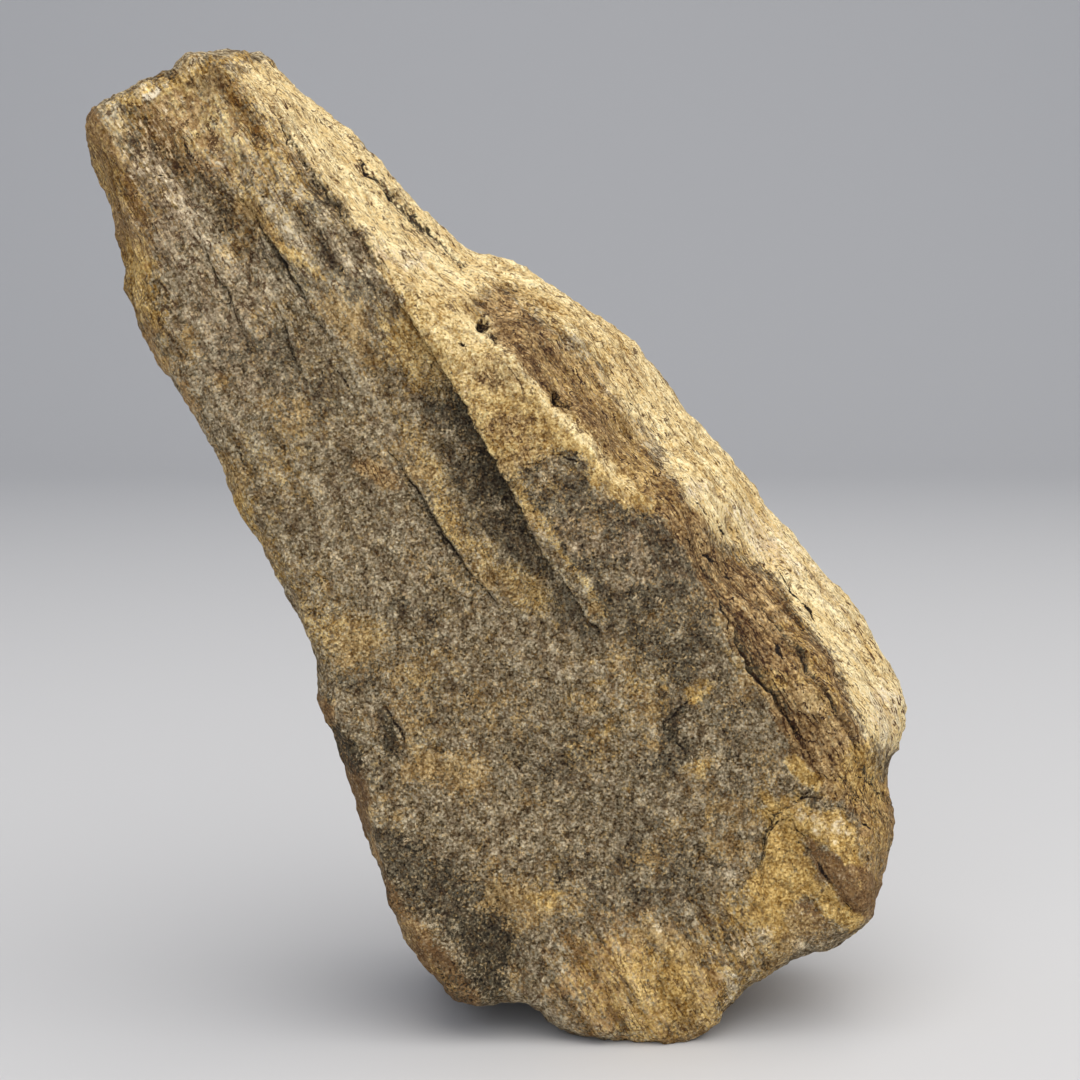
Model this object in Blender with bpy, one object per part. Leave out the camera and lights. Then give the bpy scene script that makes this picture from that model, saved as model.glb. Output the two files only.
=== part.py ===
"""A chondrite meteorite: one broken stone that stands on three worn points, its narrow end up.

Run it with: blender --background --python part.py

The stone is carved as a mason would carve it. A blank is cut to the outline seen from the front, its face and
its back are brought to their own depths, and the steps, folds, hollows and pits are cut into both. All sizes are
in millimetres, for a stone STONE_HEIGHT tall: x runs to the right, z up, and y is the depth behind the point
where the stone first touches the ground. The mesh is scaled to metres at the end, with its origin on the ground
under the middle of its box.
"""

import math
from collections import namedtuple

import bmesh
import bpy
import numpy as np
from mathutils import Vector, noise

DRAWN_HEIGHT = 120.0  # mm, the height that the numbers below are drawn for
STONE_HEIGHT = 120.0  # mm, the height of the stone
MM = 0.001 * STONE_HEIGHT / DRAWN_HEIGHT  # metres in one drawn millimetre
TRIANGLES = 9600  # what the finished stone is thinned to

BLANK_HALF = 14.0  # half the thickness of the flat blank
BLANK_VOXEL = 1.0  # grid of the blank, before it is carved
STONE_VOXEL = 0.8  # grid of the carved stone
CURVE_STEPS = 5  # points on the outline for each corner

# ---------------------------------------------------------------------------------------------------------------
# The outline, clockwise from the tip as seen from the front.
# x, z: where the corner is. face, back: the depth of the front's edge and of the back's edge there.
# fall: how far in from the outline the face begins to fall back to its edge. rise: the same for the back.

Corner = namedtuple("Corner", "x z face back fall rise")
OUTLINE = [
    # the tip, a small level break that runs down to the left
    Corner(-39.0, 119.4, 27, 30, 2, 6),
    Corner(-35.5, 118.6, 27, 30, 4, 6),
    # the long pale slope down the right, with a saddle and a hump
    Corner(-32.0, 116.0, 27, 30, 5, 6),
    Corner(-26.5, 111.5, 27, 31, 7, 7),
    Corner(-20.5, 105.0, 27, 31, 8, 7),
    Corner(-14.5, 99.5, 27, 31, 9, 8),
    Corner(-10.0, 95.5, 26, 31, 9, 8),
    Corner(-6.0, 93.7, 27, 32, 10, 8),
    Corner(-0.5, 92.0, 28, 33, 12, 8),
    Corner(5.5, 88.2, 28, 33, 13, 8),
    Corner(12.0, 82.3, 28, 33, 14, 8),
    Corner(17.5, 74.8, 28, 33, 14, 8),
    Corner(25.0, 67.0, 28, 33, 14, 8),
    Corner(31.0, 59.3, 28, 33, 15, 8),
    Corner(38.5, 51.5, 27, 33, 15, 8),
    Corner(43.0, 46.0, 26, 32, 15, 8),
    # the blunt right corner, and the nick under it
    Corner(46.8, 40.0, 25, 31, 14, 8),
    Corner(47.6, 37.0, 24, 31, 12, 8),
    Corner(45.3, 31.5, 21, 30, 8, 8),
    Corner(43.1, 29.0, 18, 30, 5, 8),
    # the lower right lobe
    Corner(44.3, 24.5, 17, 30, 5, 8),
    Corner(44.1, 20.0, 16, 30, 5, 8),
    Corner(42.8, 15.5, 14, 30, 5, 7),
    Corner(41.6, 12.5, 12, 30, 4, 6),
    # the overhang that runs back down to the ground
    Corner(38.4, 11.0, 9, 31, 3, 6),
    Corner(33.5, 9.5, 7, 32, 3, 6),
    Corner(29.0, 7.5, 6, 33, 2.5, 5),
    Corner(26.0, 5.5, 5, 33, 2.5, 5),
    Corner(24.0, 3.4, 4, 33, 2.5, 4),
    Corner(22.0, 1.5, 2, 33, 2.5, 4),
    # the front lobe, on the ground
    Corner(19.0, 0.0, 1, 33, 2.5, 4),
    Corner(13.0, 0.0, 0, 33, 2.5, 4),
    Corner(7.0, 0.2, 0, 33, 2.5, 4),
    Corner(3.0, 1.0, 1, 32, 2.5, 4),
    Corner(0.0, 3.2, 3, 32, 2.5, 4),
    # the nick and the small left lobe, which hangs clear of the ground
    Corner(-1.3, 4.0, 5, 31, 2, 4),
    Corner(-4.0, 3.4, 6, 30, 2, 4),
    Corner(-6.5, 2.5, 8, 29, 2, 4),
    Corner(-9.0, 2.2, 13, 28, 3, 5),
    # the rear foot and the left flank, where the face stops short of the outline
    Corner(-11.2, 1.2, 18, 28, 4, 6),
    Corner(-13.3, 2.8, 20, 27, 4, 7),
    Corner(-16.0, 7.6, 20, 26, 3, 8),
    Corner(-18.4, 13.4, 19, 26, 2.2, 9),
    Corner(-20.5, 19.8, 17, 25, 1.8, 9),
    Corner(-22.0, 25.2, 16, 24, 2, 9),
    Corner(-23.6, 30.0, 15, 22, 2.6, 10),
    Corner(-25.4, 34.0, 14, 21, 2.6, 11),
    Corner(-27.5, 39.0, 11, 18, 2, 13),
    # the long left edge
    Corner(-28.1, 44.7, 9, 15, 2, 14),
    Corner(-30.1, 50.3, 8, 14, 2, 15),
    Corner(-33.7, 57.5, 9, 14, 2, 15),
    Corner(-37.4, 62.8, 10, 15, 2, 15),
    Corner(-39.4, 68.0, 11, 17, 2, 14),
    Corner(-43.1, 75.3, 12, 18, 2, 13),
    Corner(-46.5, 80.7, 13, 20, 2.2, 11),
    Corner(-48.8, 86.0, 14, 21, 2.6, 9),
    # the brown facet beside the tip
    Corner(-50.4, 90.0, 16, 22, 3.5, 8),
    Corner(-50.5, 93.0, 17, 23, 4, 8),
    Corner(-53.0, 99.0, 20, 25, 5, 7),
    Corner(-54.7, 102.7, 21, 26, 4.5, 7),
    Corner(-56.2, 107.2, 22, 28, 3.5, 6),
    Corner(-55.4, 110.2, 23, 29, 2, 6),
    Corner(-51.8, 113.0, 26, 29, 1.5, 6),
    Corner(-46.8, 115.5, 27, 30, 1.3, 6),
    Corner(-42.5, 118.3, 27, 30, 1.3, 6),
]

# ---------------------------------------------------------------------------------------------------------------
# The face. It leans back as it rises, and bows forward a little in the middle.

FACE_LEAN = 0.105
FACE_BOW = 1.6
BOW_CENTRE, BOW_REACH = (-6.0, 52.0), (40.0, 62.0)
FACE_FALL_POWER = 1.35  # 1 falls back as a flat chamfer, 2 as a round
SHOULDER_WANDER, SHOULDER_WAVE = 0.45, 11.0  # how much the line where it begins to fall wanders, and how often

# The back, hidden from the front: flat breaks that meet in blunt edges.
# depth: the plane's depth at (x, z). per_x, per_z: how much deeper it lies for each millimetre right and up.
Plane = namedtuple("Plane", "depth x z per_x per_z")
BACK_PLANES = [
    Plane(37.0, 5.0, 35.0, 0.06, -0.06),  # the main break
    Plane(33.5, -25.0, 65.0, 0.45, 0.10),  # the left break
    Plane(33.0, -34.0, 104.0, -0.06, -0.16),  # the break behind the tip
    Plane(33.5, 20.0, 71.0, -0.30, -0.30),  # the right break
    Plane(30.0, 5.0, 0.0, -0.04, 0.42),  # the heel, cut in above the ground
    Plane(33.0, 38.0, 20.0, -0.42, 0.06),  # the low right break
]
BACK_EDGE = 1.2  # how round the edges between them are
BACK_RISE_POWER = 1.5

# The wall between them is cut in towards the back, so that nothing behind shows past the front's outline.
WALL_CUT, WALL_CUT_WAVE = 2.2, 15.0  # how far on average, and the size of the waves it varies with
WALL_CUT_REACH = 12.0  # how far into the face and the back the cut is felt
WALL_CUT_ABOVE = 8.0  # none below this height, where the stone rests

# ---------------------------------------------------------------------------------------------------------------
# Relief. Each line is a list of (x, z), walked downwards. "Proud" is towards the viewer on the face, and away
# from the stone on the back.

# A step: the ground right of the line stands proud by rise at the line and comes back level over reach.
Step = namedtuple("Step", "line rise lip reach")
# A fold: a rounded ridge (height > 0) or valley (height < 0) that runs along the line, aside of it by offset.
Fold = namedtuple("Fold", "line height width offset")
# A lump (height > 0) or scoop (height < 0), long by across, its long side turned from level by turn degrees.
Lump = namedtuple("Lump", "x z height long across turn")

MAIN_LEDGE = [
    (-18.0, 88.0), (-15.5, 82.5), (-12.0, 78.0), (-9.0, 73.0), (-6.0, 68.5),
    (-3.5, 65.0), (-1.2, 61.3), (1.5, 57.2), (4.2, 52.8), (7.6, 48.2),
]  # fmt: skip
SECOND_LEDGE = [(-18.5, 71.5), (-16.4, 67.8), (-14.8, 65.2), (-12.0, 60.7), (-8.3, 55.4), (-4.2, 52.0)]
UPPER_LEDGE = [(-36.5, 102.0), (-33.0, 96.7), (-29.6, 92.3), (-26.3, 86.0), (-22.5, 80.0)]
TIP_LEDGE = [(-33.4, 113.8), (-30.2, 108.0), (-25.5, 100.8), (-20.8, 94.4), (-17.0, 90.5)]
SLOPE_LEDGE = [(-24.0, 107.5), (-19.5, 102.0), (-14.5, 97.0), (-9.0, 92.0), (-5.0, 88.0)]
BAND_LIP = [(-9.5, 87.5), (-4.2, 82.0), (-0.6, 78.4), (2.5, 75.3), (7.1, 71.2), (12.0, 66.2), (16.0, 61.0)]
BAND_FLOOR = [(-6.5, 89.5), (-1.0, 84.0), (4.5, 78.8), (9.5, 73.6), (15.0, 67.0), (20.0, 60.5)]
RIGHT_CRACK = [(17.5, 59.5), (19.0, 56.6), (21.0, 52.7), (23.0, 48.0), (25.5, 43.6), (29.0, 38.5), (31.5, 34.0)]
RIGHT_STREAK = [(24.0, 55.5), (28.0, 50.0), (32.5, 44.0), (36.5, 37.5), (39.5, 32.0)]
OCHRE_EDGE = [(26.0, 17.5), (26.7, 21.6), (27.0, 24.8), (28.2, 26.8), (30.8, 28.9), (34.0, 31.5)]
OCHRE_RIDGE = [(30.0, 28.5), (32.5, 25.3), (34.6, 22.6), (36.8, 19.6), (40.0, 15.5)]
LOBE_VALLEY = [(-1.2, 2.5), (-2.4, 7.5), (-4.5, 12.5), (-8.5, 18.5), (-12.0, 23.0)]
FLANK_EDGE = [(-23.0, 41.0), (-20.5, 34.0), (-20.2, 27.0), (-18.5, 21.0), (-15.5, 15.0), (-11.0, 9.0)]

FACE_STEPS = [
    Step(MAIN_LEDGE, 3.2, 0.6, 16.0),
    Step(SECOND_LEDGE, 1.2, 0.6, 6.0),
    Step(UPPER_LEDGE, 1.2, 0.7, 7.0),
    Step(TIP_LEDGE, 1.1, 0.8, 5.0),
    Step(SLOPE_LEDGE, 0.9, 0.7, 4.0),
    Step(RIGHT_CRACK, -1.4, 0.6, 6.0),
    Step(RIGHT_STREAK, 0.9, 0.6, 4.0),
    Step(OCHRE_EDGE, -1.3, 0.7, 8.0),
    Step([(-31.0, 88.0), (-29.0, 82.0), (-27.0, 77.0)], 0.8, 0.6, 5.0),
    Step([(-41.5, 98.0), (-39.0, 92.5), (-36.0, 87.0), (-33.5, 82.0)], 0.8, 0.7, 6.0),
    Step([(2.0, 47.0), (3.5, 42.0), (8.0, 38.5), (11.5, 33.5), (13.0, 30.0), (11.0, 26.0)], 0.9, 0.7, 5.0),
    Step([(-15.5, 40.5), (-16.6, 37.5), (-15.8, 34.0), (-13.5, 32.0)], -0.9, 0.6, 4.0),
]
FACE_FOLDS = [
    Fold(MAIN_LEDGE, -1.8, 3.4, -3.0),
    Fold(BAND_LIP, 1.2, 1.2, 0.0),
    Fold(BAND_FLOOR, -2.9, 2.7, 0.0),
    Fold(OCHRE_RIDGE, 1.5, 1.6, 0.0),
    Fold(OCHRE_RIDGE, -0.8, 2.0, -3.2),
    Fold(LOBE_VALLEY, -1.3, 2.1, 0.0),
    Fold(FLANK_EDGE, 0.7, 2.0, 0.0),
]
FACE_LUMPS = [
    Lump(13.0, 9.0, 1.8, 11.0, 6.5, 0.0),  # the front lobe
    Lump(-8.0, 8.0, 1.3, 5.5, 6.5, 20.0),  # the small left lobe
    Lump(14.0, 50.0, 1.3, 15.0, 8.0, -60.0),  # the raised field right of the main ledge
    Lump(-30.0, 74.0, 1.0, 20.0, 7.0, -60.0),  # the long swell of the left side
    Lump(-13.0, 40.0, -0.9, 14.0, 8.0, -55.0),
    Lump(4.0, 26.0, -1.0, 12.0, 7.0, -20.0),
    Lump(34.0, 13.0, -1.2, 7.0, 3.5, 25.0),  # the scoop under the ochre ridge
    Lump(-42.0, 98.0, -0.8, 8.0, 4.0, -60.0),
    Lump(9.0, 85.0, 1.2, 6.0, 3.5, -35.0),  # the hump of the slope, below the saddle
]
BACK_STEPS = [
    Step([(-34.0, 104.0), (-24.0, 88.0), (-14.0, 71.0), (-6.0, 55.0), (0.0, 40.0)], 2.0, 0.8, 14.0),
    Step([(6.0, 78.0), (14.0, 64.0), (22.0, 50.0), (27.0, 36.0)], -1.8, 0.8, 10.0),
    Step([(-16.0, 44.0), (-10.0, 32.0), (-6.0, 20.0), (-4.0, 9.0)], 1.5, 0.8, 9.0),
    Step([(2.0, 30.0), (12.0, 27.0), (22.0, 20.0), (30.0, 17.0)], -1.4, 0.8, 8.0),
    Step([(-42.0, 84.0), (-36.0, 74.0), (-29.0, 62.0), (-24.0, 50.0)], 1.3, 0.8, 6.0),
]
BACK_FOLDS = [
    Fold([(-6.0, 84.0), (2.0, 70.0), (9.0, 54.0), (13.0, 40.0)], -1.6, 3.0, 0.0),
    Fold([(-30.0, 78.0), (-22.0, 62.0), (-16.0, 46.0)], -1.2, 3.4, 0.0),
]
BACK_LUMPS = [
    Lump(6.0, 60.0, -1.8, 12.0, 7.0, -60.0),
    Lump(22.0, 38.0, -1.6, 9.0, 6.5, -40.0),
    Lump(-12.0, 26.0, -1.3, 8.0, 6.0, -70.0),
    Lump(-24.0, 92.0, 1.2, 9.0, 5.0, -60.0),
    Lump(12.0, 18.0, 1.3, 9.0, 6.0, -10.0),
    Lump(-2.0, 80.0, 1.0, 8.0, 5.0, -50.0),
]
RELIEF_MARGIN = 2.5  # relief dies out this close to the outline

# Pits: (x, z, radius, depth), on the face.
FACE_PITS = [(-6.6, 84.9, 1.0, 1.8), (-4.9, 83.0, 0.7, 1.2), (2.1, 76.4, 1.1, 2.0), (3.8, 75.2, 0.7, 1.2)]

# Hollows: balls taken out of the stone, as (x, y, z, radius, depth). The first is the dark nook in the left
# flank, and the rest lift the underside clear of the ground between the three feet.
HOLLOWS = [
    (-25.0, 12.5, 35.5, 4.6, 2.2),
    (13.0, 15.0, 0.0, 9.0, 1.6),
    (2.0, 12.0, 1.5, 7.0, 1.8),
    (1.0, 31.0, 0.5, 7.5, 1.4),
    (24.0, 16.0, 2.0, 8.0, 1.4),
]

# Roughness of the broken stone, in waves stretched along the grain, along which it splits.
GRAIN = Vector((0.459, 0.0, -0.888))
STRETCH = 2.4
Wave = namedtuple("Wave", "size height terraces")  # terraces: how many flats one wave breaks into, or 0
WAVES = [Wave(17.0, 1.5, 3.0), Wave(8.0, 0.85, 2.5), Wave(4.0, 0.5, 0)]
RISER = 0.22  # half of the share of a terrace that its riser takes
FACE_SHARE, BACK_SHARE = 0.5, 1.3  # how much of it the face and the wall have, and how much the back has

# The three points it stands on. The stone reaches below the ground by drop there, and is then cut off level.
Foot = namedtuple("Foot", "x y radius drop")
FEET = [Foot(13.5, 3.0, 7.0, 0.7), Foot(16.0, 28.5, 7.0, 1.0), Foot(-8.5, 23.0, 6.5, 2.6)]
FOOT_HEIGHT = 9.0  # a foot is drawn out of the stone below this

STONE_COLOUR = (0.205, 0.150, 0.092)
STONE_ROUGHNESS = 0.86


# ---------------------------------------------------------------------------------------------------------------
# Measuring


def smooth(t):
    """0 below t = -1, 1 above t = 1, and a smooth rise between them."""
    t = np.clip(0.5 + 0.5 * t, 0.0, 1.0)
    return t * t * (3.0 - 2.0 * t)


def closed_curve(corners, steps):
    """A closed Catmull-Rom curve through the corners, in every one of their columns."""
    p = np.array(corners, float)
    before, after, second = np.roll(p, 1, 0), np.roll(p, -1, 0), np.roll(p, -2, 0)
    rows = []
    for t in np.arange(steps) / steps:
        rows.append(
            0.5 * (2 * p + (after - before) * t + (2 * before - 5 * p + 4 * after - second) * t**2
                   + (3 * p - before - 3 * after + second) * t**3)
        )  # fmt: skip
    return np.stack(rows, 1).reshape(-1, p.shape[1])


def nearest_on(line, at):
    """Each point's distance to the line, how far along the line its nearest place is, and its side of the line."""
    start, run = line[:-1], np.diff(line, axis=0)
    from_start = at[:, None, :] - start[None, :, :]
    share = np.clip((from_start * run).sum(2) / (run * run).sum(1), 0.0, 1.0)
    gap = from_start - share[:, :, None] * run
    distance = np.hypot(gap[:, :, 0], gap[:, :, 1])
    segment, row = distance.argmin(1), np.arange(len(at))
    cross = run[segment, 0] * from_start[row, segment, 1] - run[segment, 1] * from_start[row, segment, 0]
    length = np.hypot(run[:, 0], run[:, 1])
    along = (np.cumsum(length) - length)[segment] + share[row, segment] * length[segment]
    return distance[row, segment], along / length.sum(), np.where(cross > 0, 1.0, -1.0)


def in_batches(work, at, size=3000):
    """work over the points a few thousand at a time, which keeps the tables of distances small."""
    parts = [work(at[i : i + size]) for i in range(0, len(at), size)]
    return [np.concatenate(columns) for columns in zip(*parts)]


def beside(line, at):
    """How far each point lies to the right of the line as it is walked, and 1 by its middle falling to 0 by its ends."""
    line = np.array(line, float)
    distance, share, side = in_batches(lambda part: nearest_on(line, part), at)
    return distance * side, np.sqrt(np.clip(np.sin(np.pi * share), 0.0, 1.0))


def blended(outline, values, at):
    """The outline's values at each point, weighted by how near each part of the outline is."""

    def work(part):
        gap = part[:, None, :] - outline[None, :, :]
        weight = ((gap**2).sum(2) + 0.05) ** -2
        return ((weight @ values) / weight.sum(1)[:, None],)

    return in_batches(work, at)[0]


# ---------------------------------------------------------------------------------------------------------------
# Relief


def relief(at, steps, folds, lumps, pits=()):
    """How far the surface stands proud at each (x, z)."""
    proud = np.zeros(len(at))
    for step in steps:
        offset, middle = beside(step.line, at)
        proud += step.rise * middle * smooth(offset / step.lip) * np.exp(-np.maximum(offset, 0.0) / step.reach)
    for fold in folds:
        offset, middle = beside(fold.line, at)
        proud += fold.height * middle * np.exp(-(((offset - fold.offset) / fold.width) ** 2))
    for lump in lumps:
        turn = math.radians(lump.turn)
        dx, dz = at[:, 0] - lump.x, at[:, 1] - lump.z
        long = (dx * math.cos(turn) + dz * math.sin(turn)) / lump.long
        across = (dz * math.cos(turn) - dx * math.sin(turn)) / lump.across
        proud += lump.height * np.exp(-(long**2) - across**2)
    for x, z, radius, depth in pits:
        proud -= depth * smooth(2.0 - 2.0 * np.hypot(at[:, 0] - x, at[:, 1] - z) / radius)
    return proud


def face_depth(at):
    """The depth of the face, before it falls away to the outline."""
    (cx, cz), (rx, rz) = BOW_CENTRE, BOW_REACH
    bow = FACE_BOW * np.clip(1.0 - ((at[:, 0] - cx) / rx) ** 2 - ((at[:, 1] - cz) / rz) ** 2, 0.0, None)
    return FACE_LEAN * at[:, 1] - bow


def back_depth(at):
    """The depth of the back: the nearest of its planes, with the edges between them blunted."""
    planes = [p.depth + p.per_x * (at[:, 0] - p.x) + p.per_z * (at[:, 1] - p.z) for p in BACK_PLANES]
    near = np.min(planes, axis=0)
    return near - BACK_EDGE * np.log(sum(np.exp((near - plane) / BACK_EDGE) for plane in planes))


def inwards(distance, width, power):
    """0 on the outline and 1 from width inwards."""
    return 1.0 - (1.0 - np.clip(distance / width, 0.0, 1.0)) ** power


def waves(points, size):
    return np.array([noise.noise(Vector(point / size)) for point in points])


# ---------------------------------------------------------------------------------------------------------------
# Making the stone


def through_modifier(mesh, kind, **settings):
    """The mesh as one modifier leaves it."""
    holder = bpy.data.objects.new("holder", mesh)
    bpy.context.scene.collection.objects.link(holder)
    modifier = holder.modifiers.new(kind.title(), kind)
    for name, value in settings.items():
        setattr(modifier, name, value)
    graph = bpy.context.evaluated_depsgraph_get()
    made = bpy.data.meshes.new_from_object(holder.evaluated_get(graph))
    bpy.data.objects.remove(holder)
    return made


def evened(mesh, voxel, smoothing):
    """The mesh on an even grid, with the grid's own steps smoothed out."""
    mesh = through_modifier(mesh, "REMESH", mode="VOXEL", voxel_size=voxel)
    return through_modifier(mesh, "SMOOTH", factor=0.5, iterations=smoothing)


def read(mesh, name):
    values = np.empty(len(mesh.vertices) * 3, np.float32)
    mesh.vertices.foreach_get(name, values)
    return values.reshape(-1, 3).astype(float)


def move(mesh, points):
    mesh.vertices.foreach_set("co", points.astype(np.float32).ravel())
    mesh.update()


def blank(outline):
    """A flat slab of the outline's shape, on an even grid."""
    shape = bmesh.new()
    front = shape.faces.new([shape.verts.new((x, -BLANK_HALF, z)) for x, z in outline])
    made = bmesh.ops.extrude_face_region(shape, geom=[front], use_keep_orig=True)["geom"]
    far_side = [v for v in made if isinstance(v, bmesh.types.BMVert)]
    bmesh.ops.translate(shape, vec=(0.0, 2.0 * BLANK_HALF, 0.0), verts=far_side)
    bmesh.ops.recalc_face_normals(shape, faces=shape.faces)
    mesh = bpy.data.meshes.new("blank")
    shape.to_mesh(mesh)
    shape.free()
    return through_modifier(mesh, "REMESH", mode="VOXEL", voxel_size=BLANK_VOXEL)


def carve(mesh, rows):
    """Brings the blank's front and back to the depths of the face and the back, and cuts the wall in."""
    outline, edges = rows[:, :2], rows[:, 2:]
    points = read(mesh, "co")
    at = points[:, [0, 2]]
    distance, _, _ = in_batches(lambda part: nearest_on(np.vstack([outline, outline[:1]]), part), at)
    face_edge, back_edge, fall, rise = blended(outline, edges, at).T
    fall *= 1.0 + SHOULDER_WANDER * waves(points, SHOULDER_WAVE)

    near = np.clip(distance / RELIEF_MARGIN, 0.0, 1.0)
    face = face_edge + (face_depth(at) - face_edge) * inwards(distance, fall, FACE_FALL_POWER)
    face -= near * relief(at, FACE_STEPS, FACE_FOLDS, FACE_LUMPS, FACE_PITS)
    back = back_edge + np.maximum(back_depth(at) - back_edge, 0.5) * inwards(distance, rise, BACK_RISE_POWER)
    back += near * relief(at, BACK_STEPS, BACK_FOLDS, BACK_LUMPS)
    through = np.clip(0.5 + 0.5 * points[:, 1] / BLANK_HALF, 0.0, 1.0)
    points[:, 1] = face + (back - face) * through

    tangent = np.roll(outline, -1, 0) - np.roll(outline, 1, 0)
    inward = blended(outline, np.stack([tangent[:, 1], -tangent[:, 0]], 1), at)
    inward /= np.linalg.norm(inward, axis=1)[:, None] + 1e-9
    cut = WALL_CUT * (1.0 + 1.3 * waves(points, WALL_CUT_WAVE)) * smooth(3.0 * through - 1.5)
    cut *= smooth((at[:, 1] - WALL_CUT_ABOVE) / 4.0) * np.clip(1.0 - distance / WALL_CUT_REACH, 0.0, 1.0)
    points[:, [0, 2]] += inward * cut[:, None]
    move(mesh, points)
    return evened(mesh, STONE_VOXEL, 2)


def roughen(mesh):
    """Cuts the hollows, and breaks the surface into waves and small terraces that run with the grain."""
    points, normals = read(mesh, "co"), read(mesh, "normal")
    proud = np.zeros(len(points))
    for x, y, z, radius, depth in HOLLOWS:
        reach = np.linalg.norm(points - (x, y, z), axis=1) / radius
        proud -= depth * smooth(1.0 - 2.0 * reach)
    grain = np.array(GRAIN)
    squeezed = points - np.outer(points @ grain * (1.0 - 1.0 / STRETCH), grain)
    share = FACE_SHARE + (BACK_SHARE - FACE_SHARE) * np.clip(normals[:, 1], 0.0, 1.0)
    for wave in WAVES:
        height = waves(squeezed, wave.size)
        if wave.terraces:
            level = np.floor(height * wave.terraces)
            height = (level + smooth((height * wave.terraces - level - 0.5) / RISER)) / wave.terraces
        proud += wave.height * share * height
    move(mesh, points + normals * proud[:, None])


def draw_out_feet(mesh):
    """Draws the feet down out of the stone, to just below the ground."""
    points = read(mesh, "co")
    low = np.clip(1.0 - points[:, 2] / FOOT_HEIGHT, 0.0, 1.0)
    for foot in FEET:
        reach = np.hypot(points[:, 0] - foot.x, points[:, 1] - foot.y) / foot.radius
        points[:, 2] -= foot.drop * low * smooth(1.8 - 2.8 * reach)
    move(mesh, points)


def stand(mesh):
    """Cuts the feet off level, so that the stone stands on them, and sets the origin on the ground."""
    shape = bmesh.new()
    shape.from_mesh(mesh)
    cut = bmesh.ops.bisect_plane(
        shape,
        geom=list(shape.verts) + list(shape.edges) + list(shape.faces),
        plane_co=(0.0, 0.0, 0.0),
        plane_no=(0.0, 0.0, 1.0),
        clear_inner=True,
    )
    rims = [e for e in cut["geom_cut"] if isinstance(e, bmesh.types.BMEdge)]
    bmesh.ops.holes_fill(shape, edges=rims)
    bmesh.ops.triangulate(shape, faces=shape.faces)
    xs, ys = [v.co.x for v in shape.verts], [v.co.y for v in shape.verts]
    middle = Vector(((min(xs) + max(xs)) / 2.0, (min(ys) + max(ys)) / 2.0, 0.0))
    bmesh.ops.translate(shape, vec=-middle, verts=shape.verts)
    bmesh.ops.scale(shape, vec=(MM, MM, MM), verts=shape.verts)
    shape.to_mesh(mesh)
    shape.free()


def stone_material():
    material = bpy.data.materials.new("weathered stone")
    material.use_nodes = True
    shader = material.node_tree.nodes["Principled BSDF"]
    shader.inputs["Base Color"].default_value = (*STONE_COLOUR, 1.0)
    shader.inputs["Roughness"].default_value = STONE_ROUGHNESS
    shader.inputs["Metallic"].default_value = 0.0
    return material


def make_stone():
    rows = closed_curve(OUTLINE, CURVE_STEPS)
    mesh = carve(blank(rows[:, :2]), rows)
    roughen(mesh)
    draw_out_feet(mesh)
    faces = sum(len(face.vertices) - 2 for face in mesh.polygons)
    mesh = through_modifier(mesh, "DECIMATE", ratio=TRIANGLES / faces)
    stand(mesh)
    mesh.name = "meteorite"
    mesh.materials.clear()
    mesh.materials.append(stone_material())
    mesh.shade_smooth()
    stone = bpy.data.objects.new("meteorite", mesh)
    bpy.context.scene.collection.objects.link(stone)


for leftover in list(bpy.data.objects):
    bpy.data.objects.remove(leftover)
make_stone()
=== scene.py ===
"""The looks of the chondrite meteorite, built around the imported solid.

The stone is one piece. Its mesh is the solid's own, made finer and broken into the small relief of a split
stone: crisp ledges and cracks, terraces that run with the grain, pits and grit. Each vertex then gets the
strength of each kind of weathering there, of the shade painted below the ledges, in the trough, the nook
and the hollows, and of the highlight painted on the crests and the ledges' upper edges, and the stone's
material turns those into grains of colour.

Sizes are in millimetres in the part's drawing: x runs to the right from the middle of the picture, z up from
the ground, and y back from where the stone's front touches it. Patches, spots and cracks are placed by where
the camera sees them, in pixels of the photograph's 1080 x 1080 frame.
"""

import math
from collections import namedtuple

import bmesh
import bpy
import numpy as np
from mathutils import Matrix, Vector, noise


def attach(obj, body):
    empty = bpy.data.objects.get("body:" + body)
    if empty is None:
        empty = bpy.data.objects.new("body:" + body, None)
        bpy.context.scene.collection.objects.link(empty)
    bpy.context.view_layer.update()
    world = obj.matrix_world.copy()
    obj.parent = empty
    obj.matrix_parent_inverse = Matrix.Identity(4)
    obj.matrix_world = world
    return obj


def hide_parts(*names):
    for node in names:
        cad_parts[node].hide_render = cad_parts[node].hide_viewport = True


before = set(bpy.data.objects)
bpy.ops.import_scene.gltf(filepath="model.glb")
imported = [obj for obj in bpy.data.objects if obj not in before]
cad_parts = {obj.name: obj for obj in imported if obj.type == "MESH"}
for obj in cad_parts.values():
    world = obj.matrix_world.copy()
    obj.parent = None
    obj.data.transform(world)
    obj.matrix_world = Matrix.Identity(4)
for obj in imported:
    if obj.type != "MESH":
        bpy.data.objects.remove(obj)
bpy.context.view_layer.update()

# ---- The drawing and the camera ----

MM = 0.001
DRAWING = np.array((-4.409431, 18.947189, 0.0))  # the part's origin, in the drawing

FRAME_PX = 1080.0
SENSOR = 36.0
LENS = 69.6
FOCAL_PX = LENS / SENSOR * FRAME_PX
PITCH = math.radians(6.0)  # how far down the camera looks
CAMERA = np.array((0.0, -240.0, 85.443))  # where it stands in the drawing
SEEN_TO, SEEN_SOFT = 0.6, 0.25  # a face is half seen when it looks away by the one times the other

# ---- The mesh ----

COARSE = 1.02  # between vertices. It is halved where the camera looks, and again by a line
FINE_FACING = 0.02  # a face that looks at the camera by more than this is halved
LINE_REACH = 0.7  # how near a line is "by" it
SMOOTHING = 5  # rounds that take out the solid's facets
LAST_SMOOTHING = 3  # rounds that even out the halved faces
GROUND_CLEAR = 0.05  # what lies below this is a foot's flat, and stays on the ground

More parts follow.
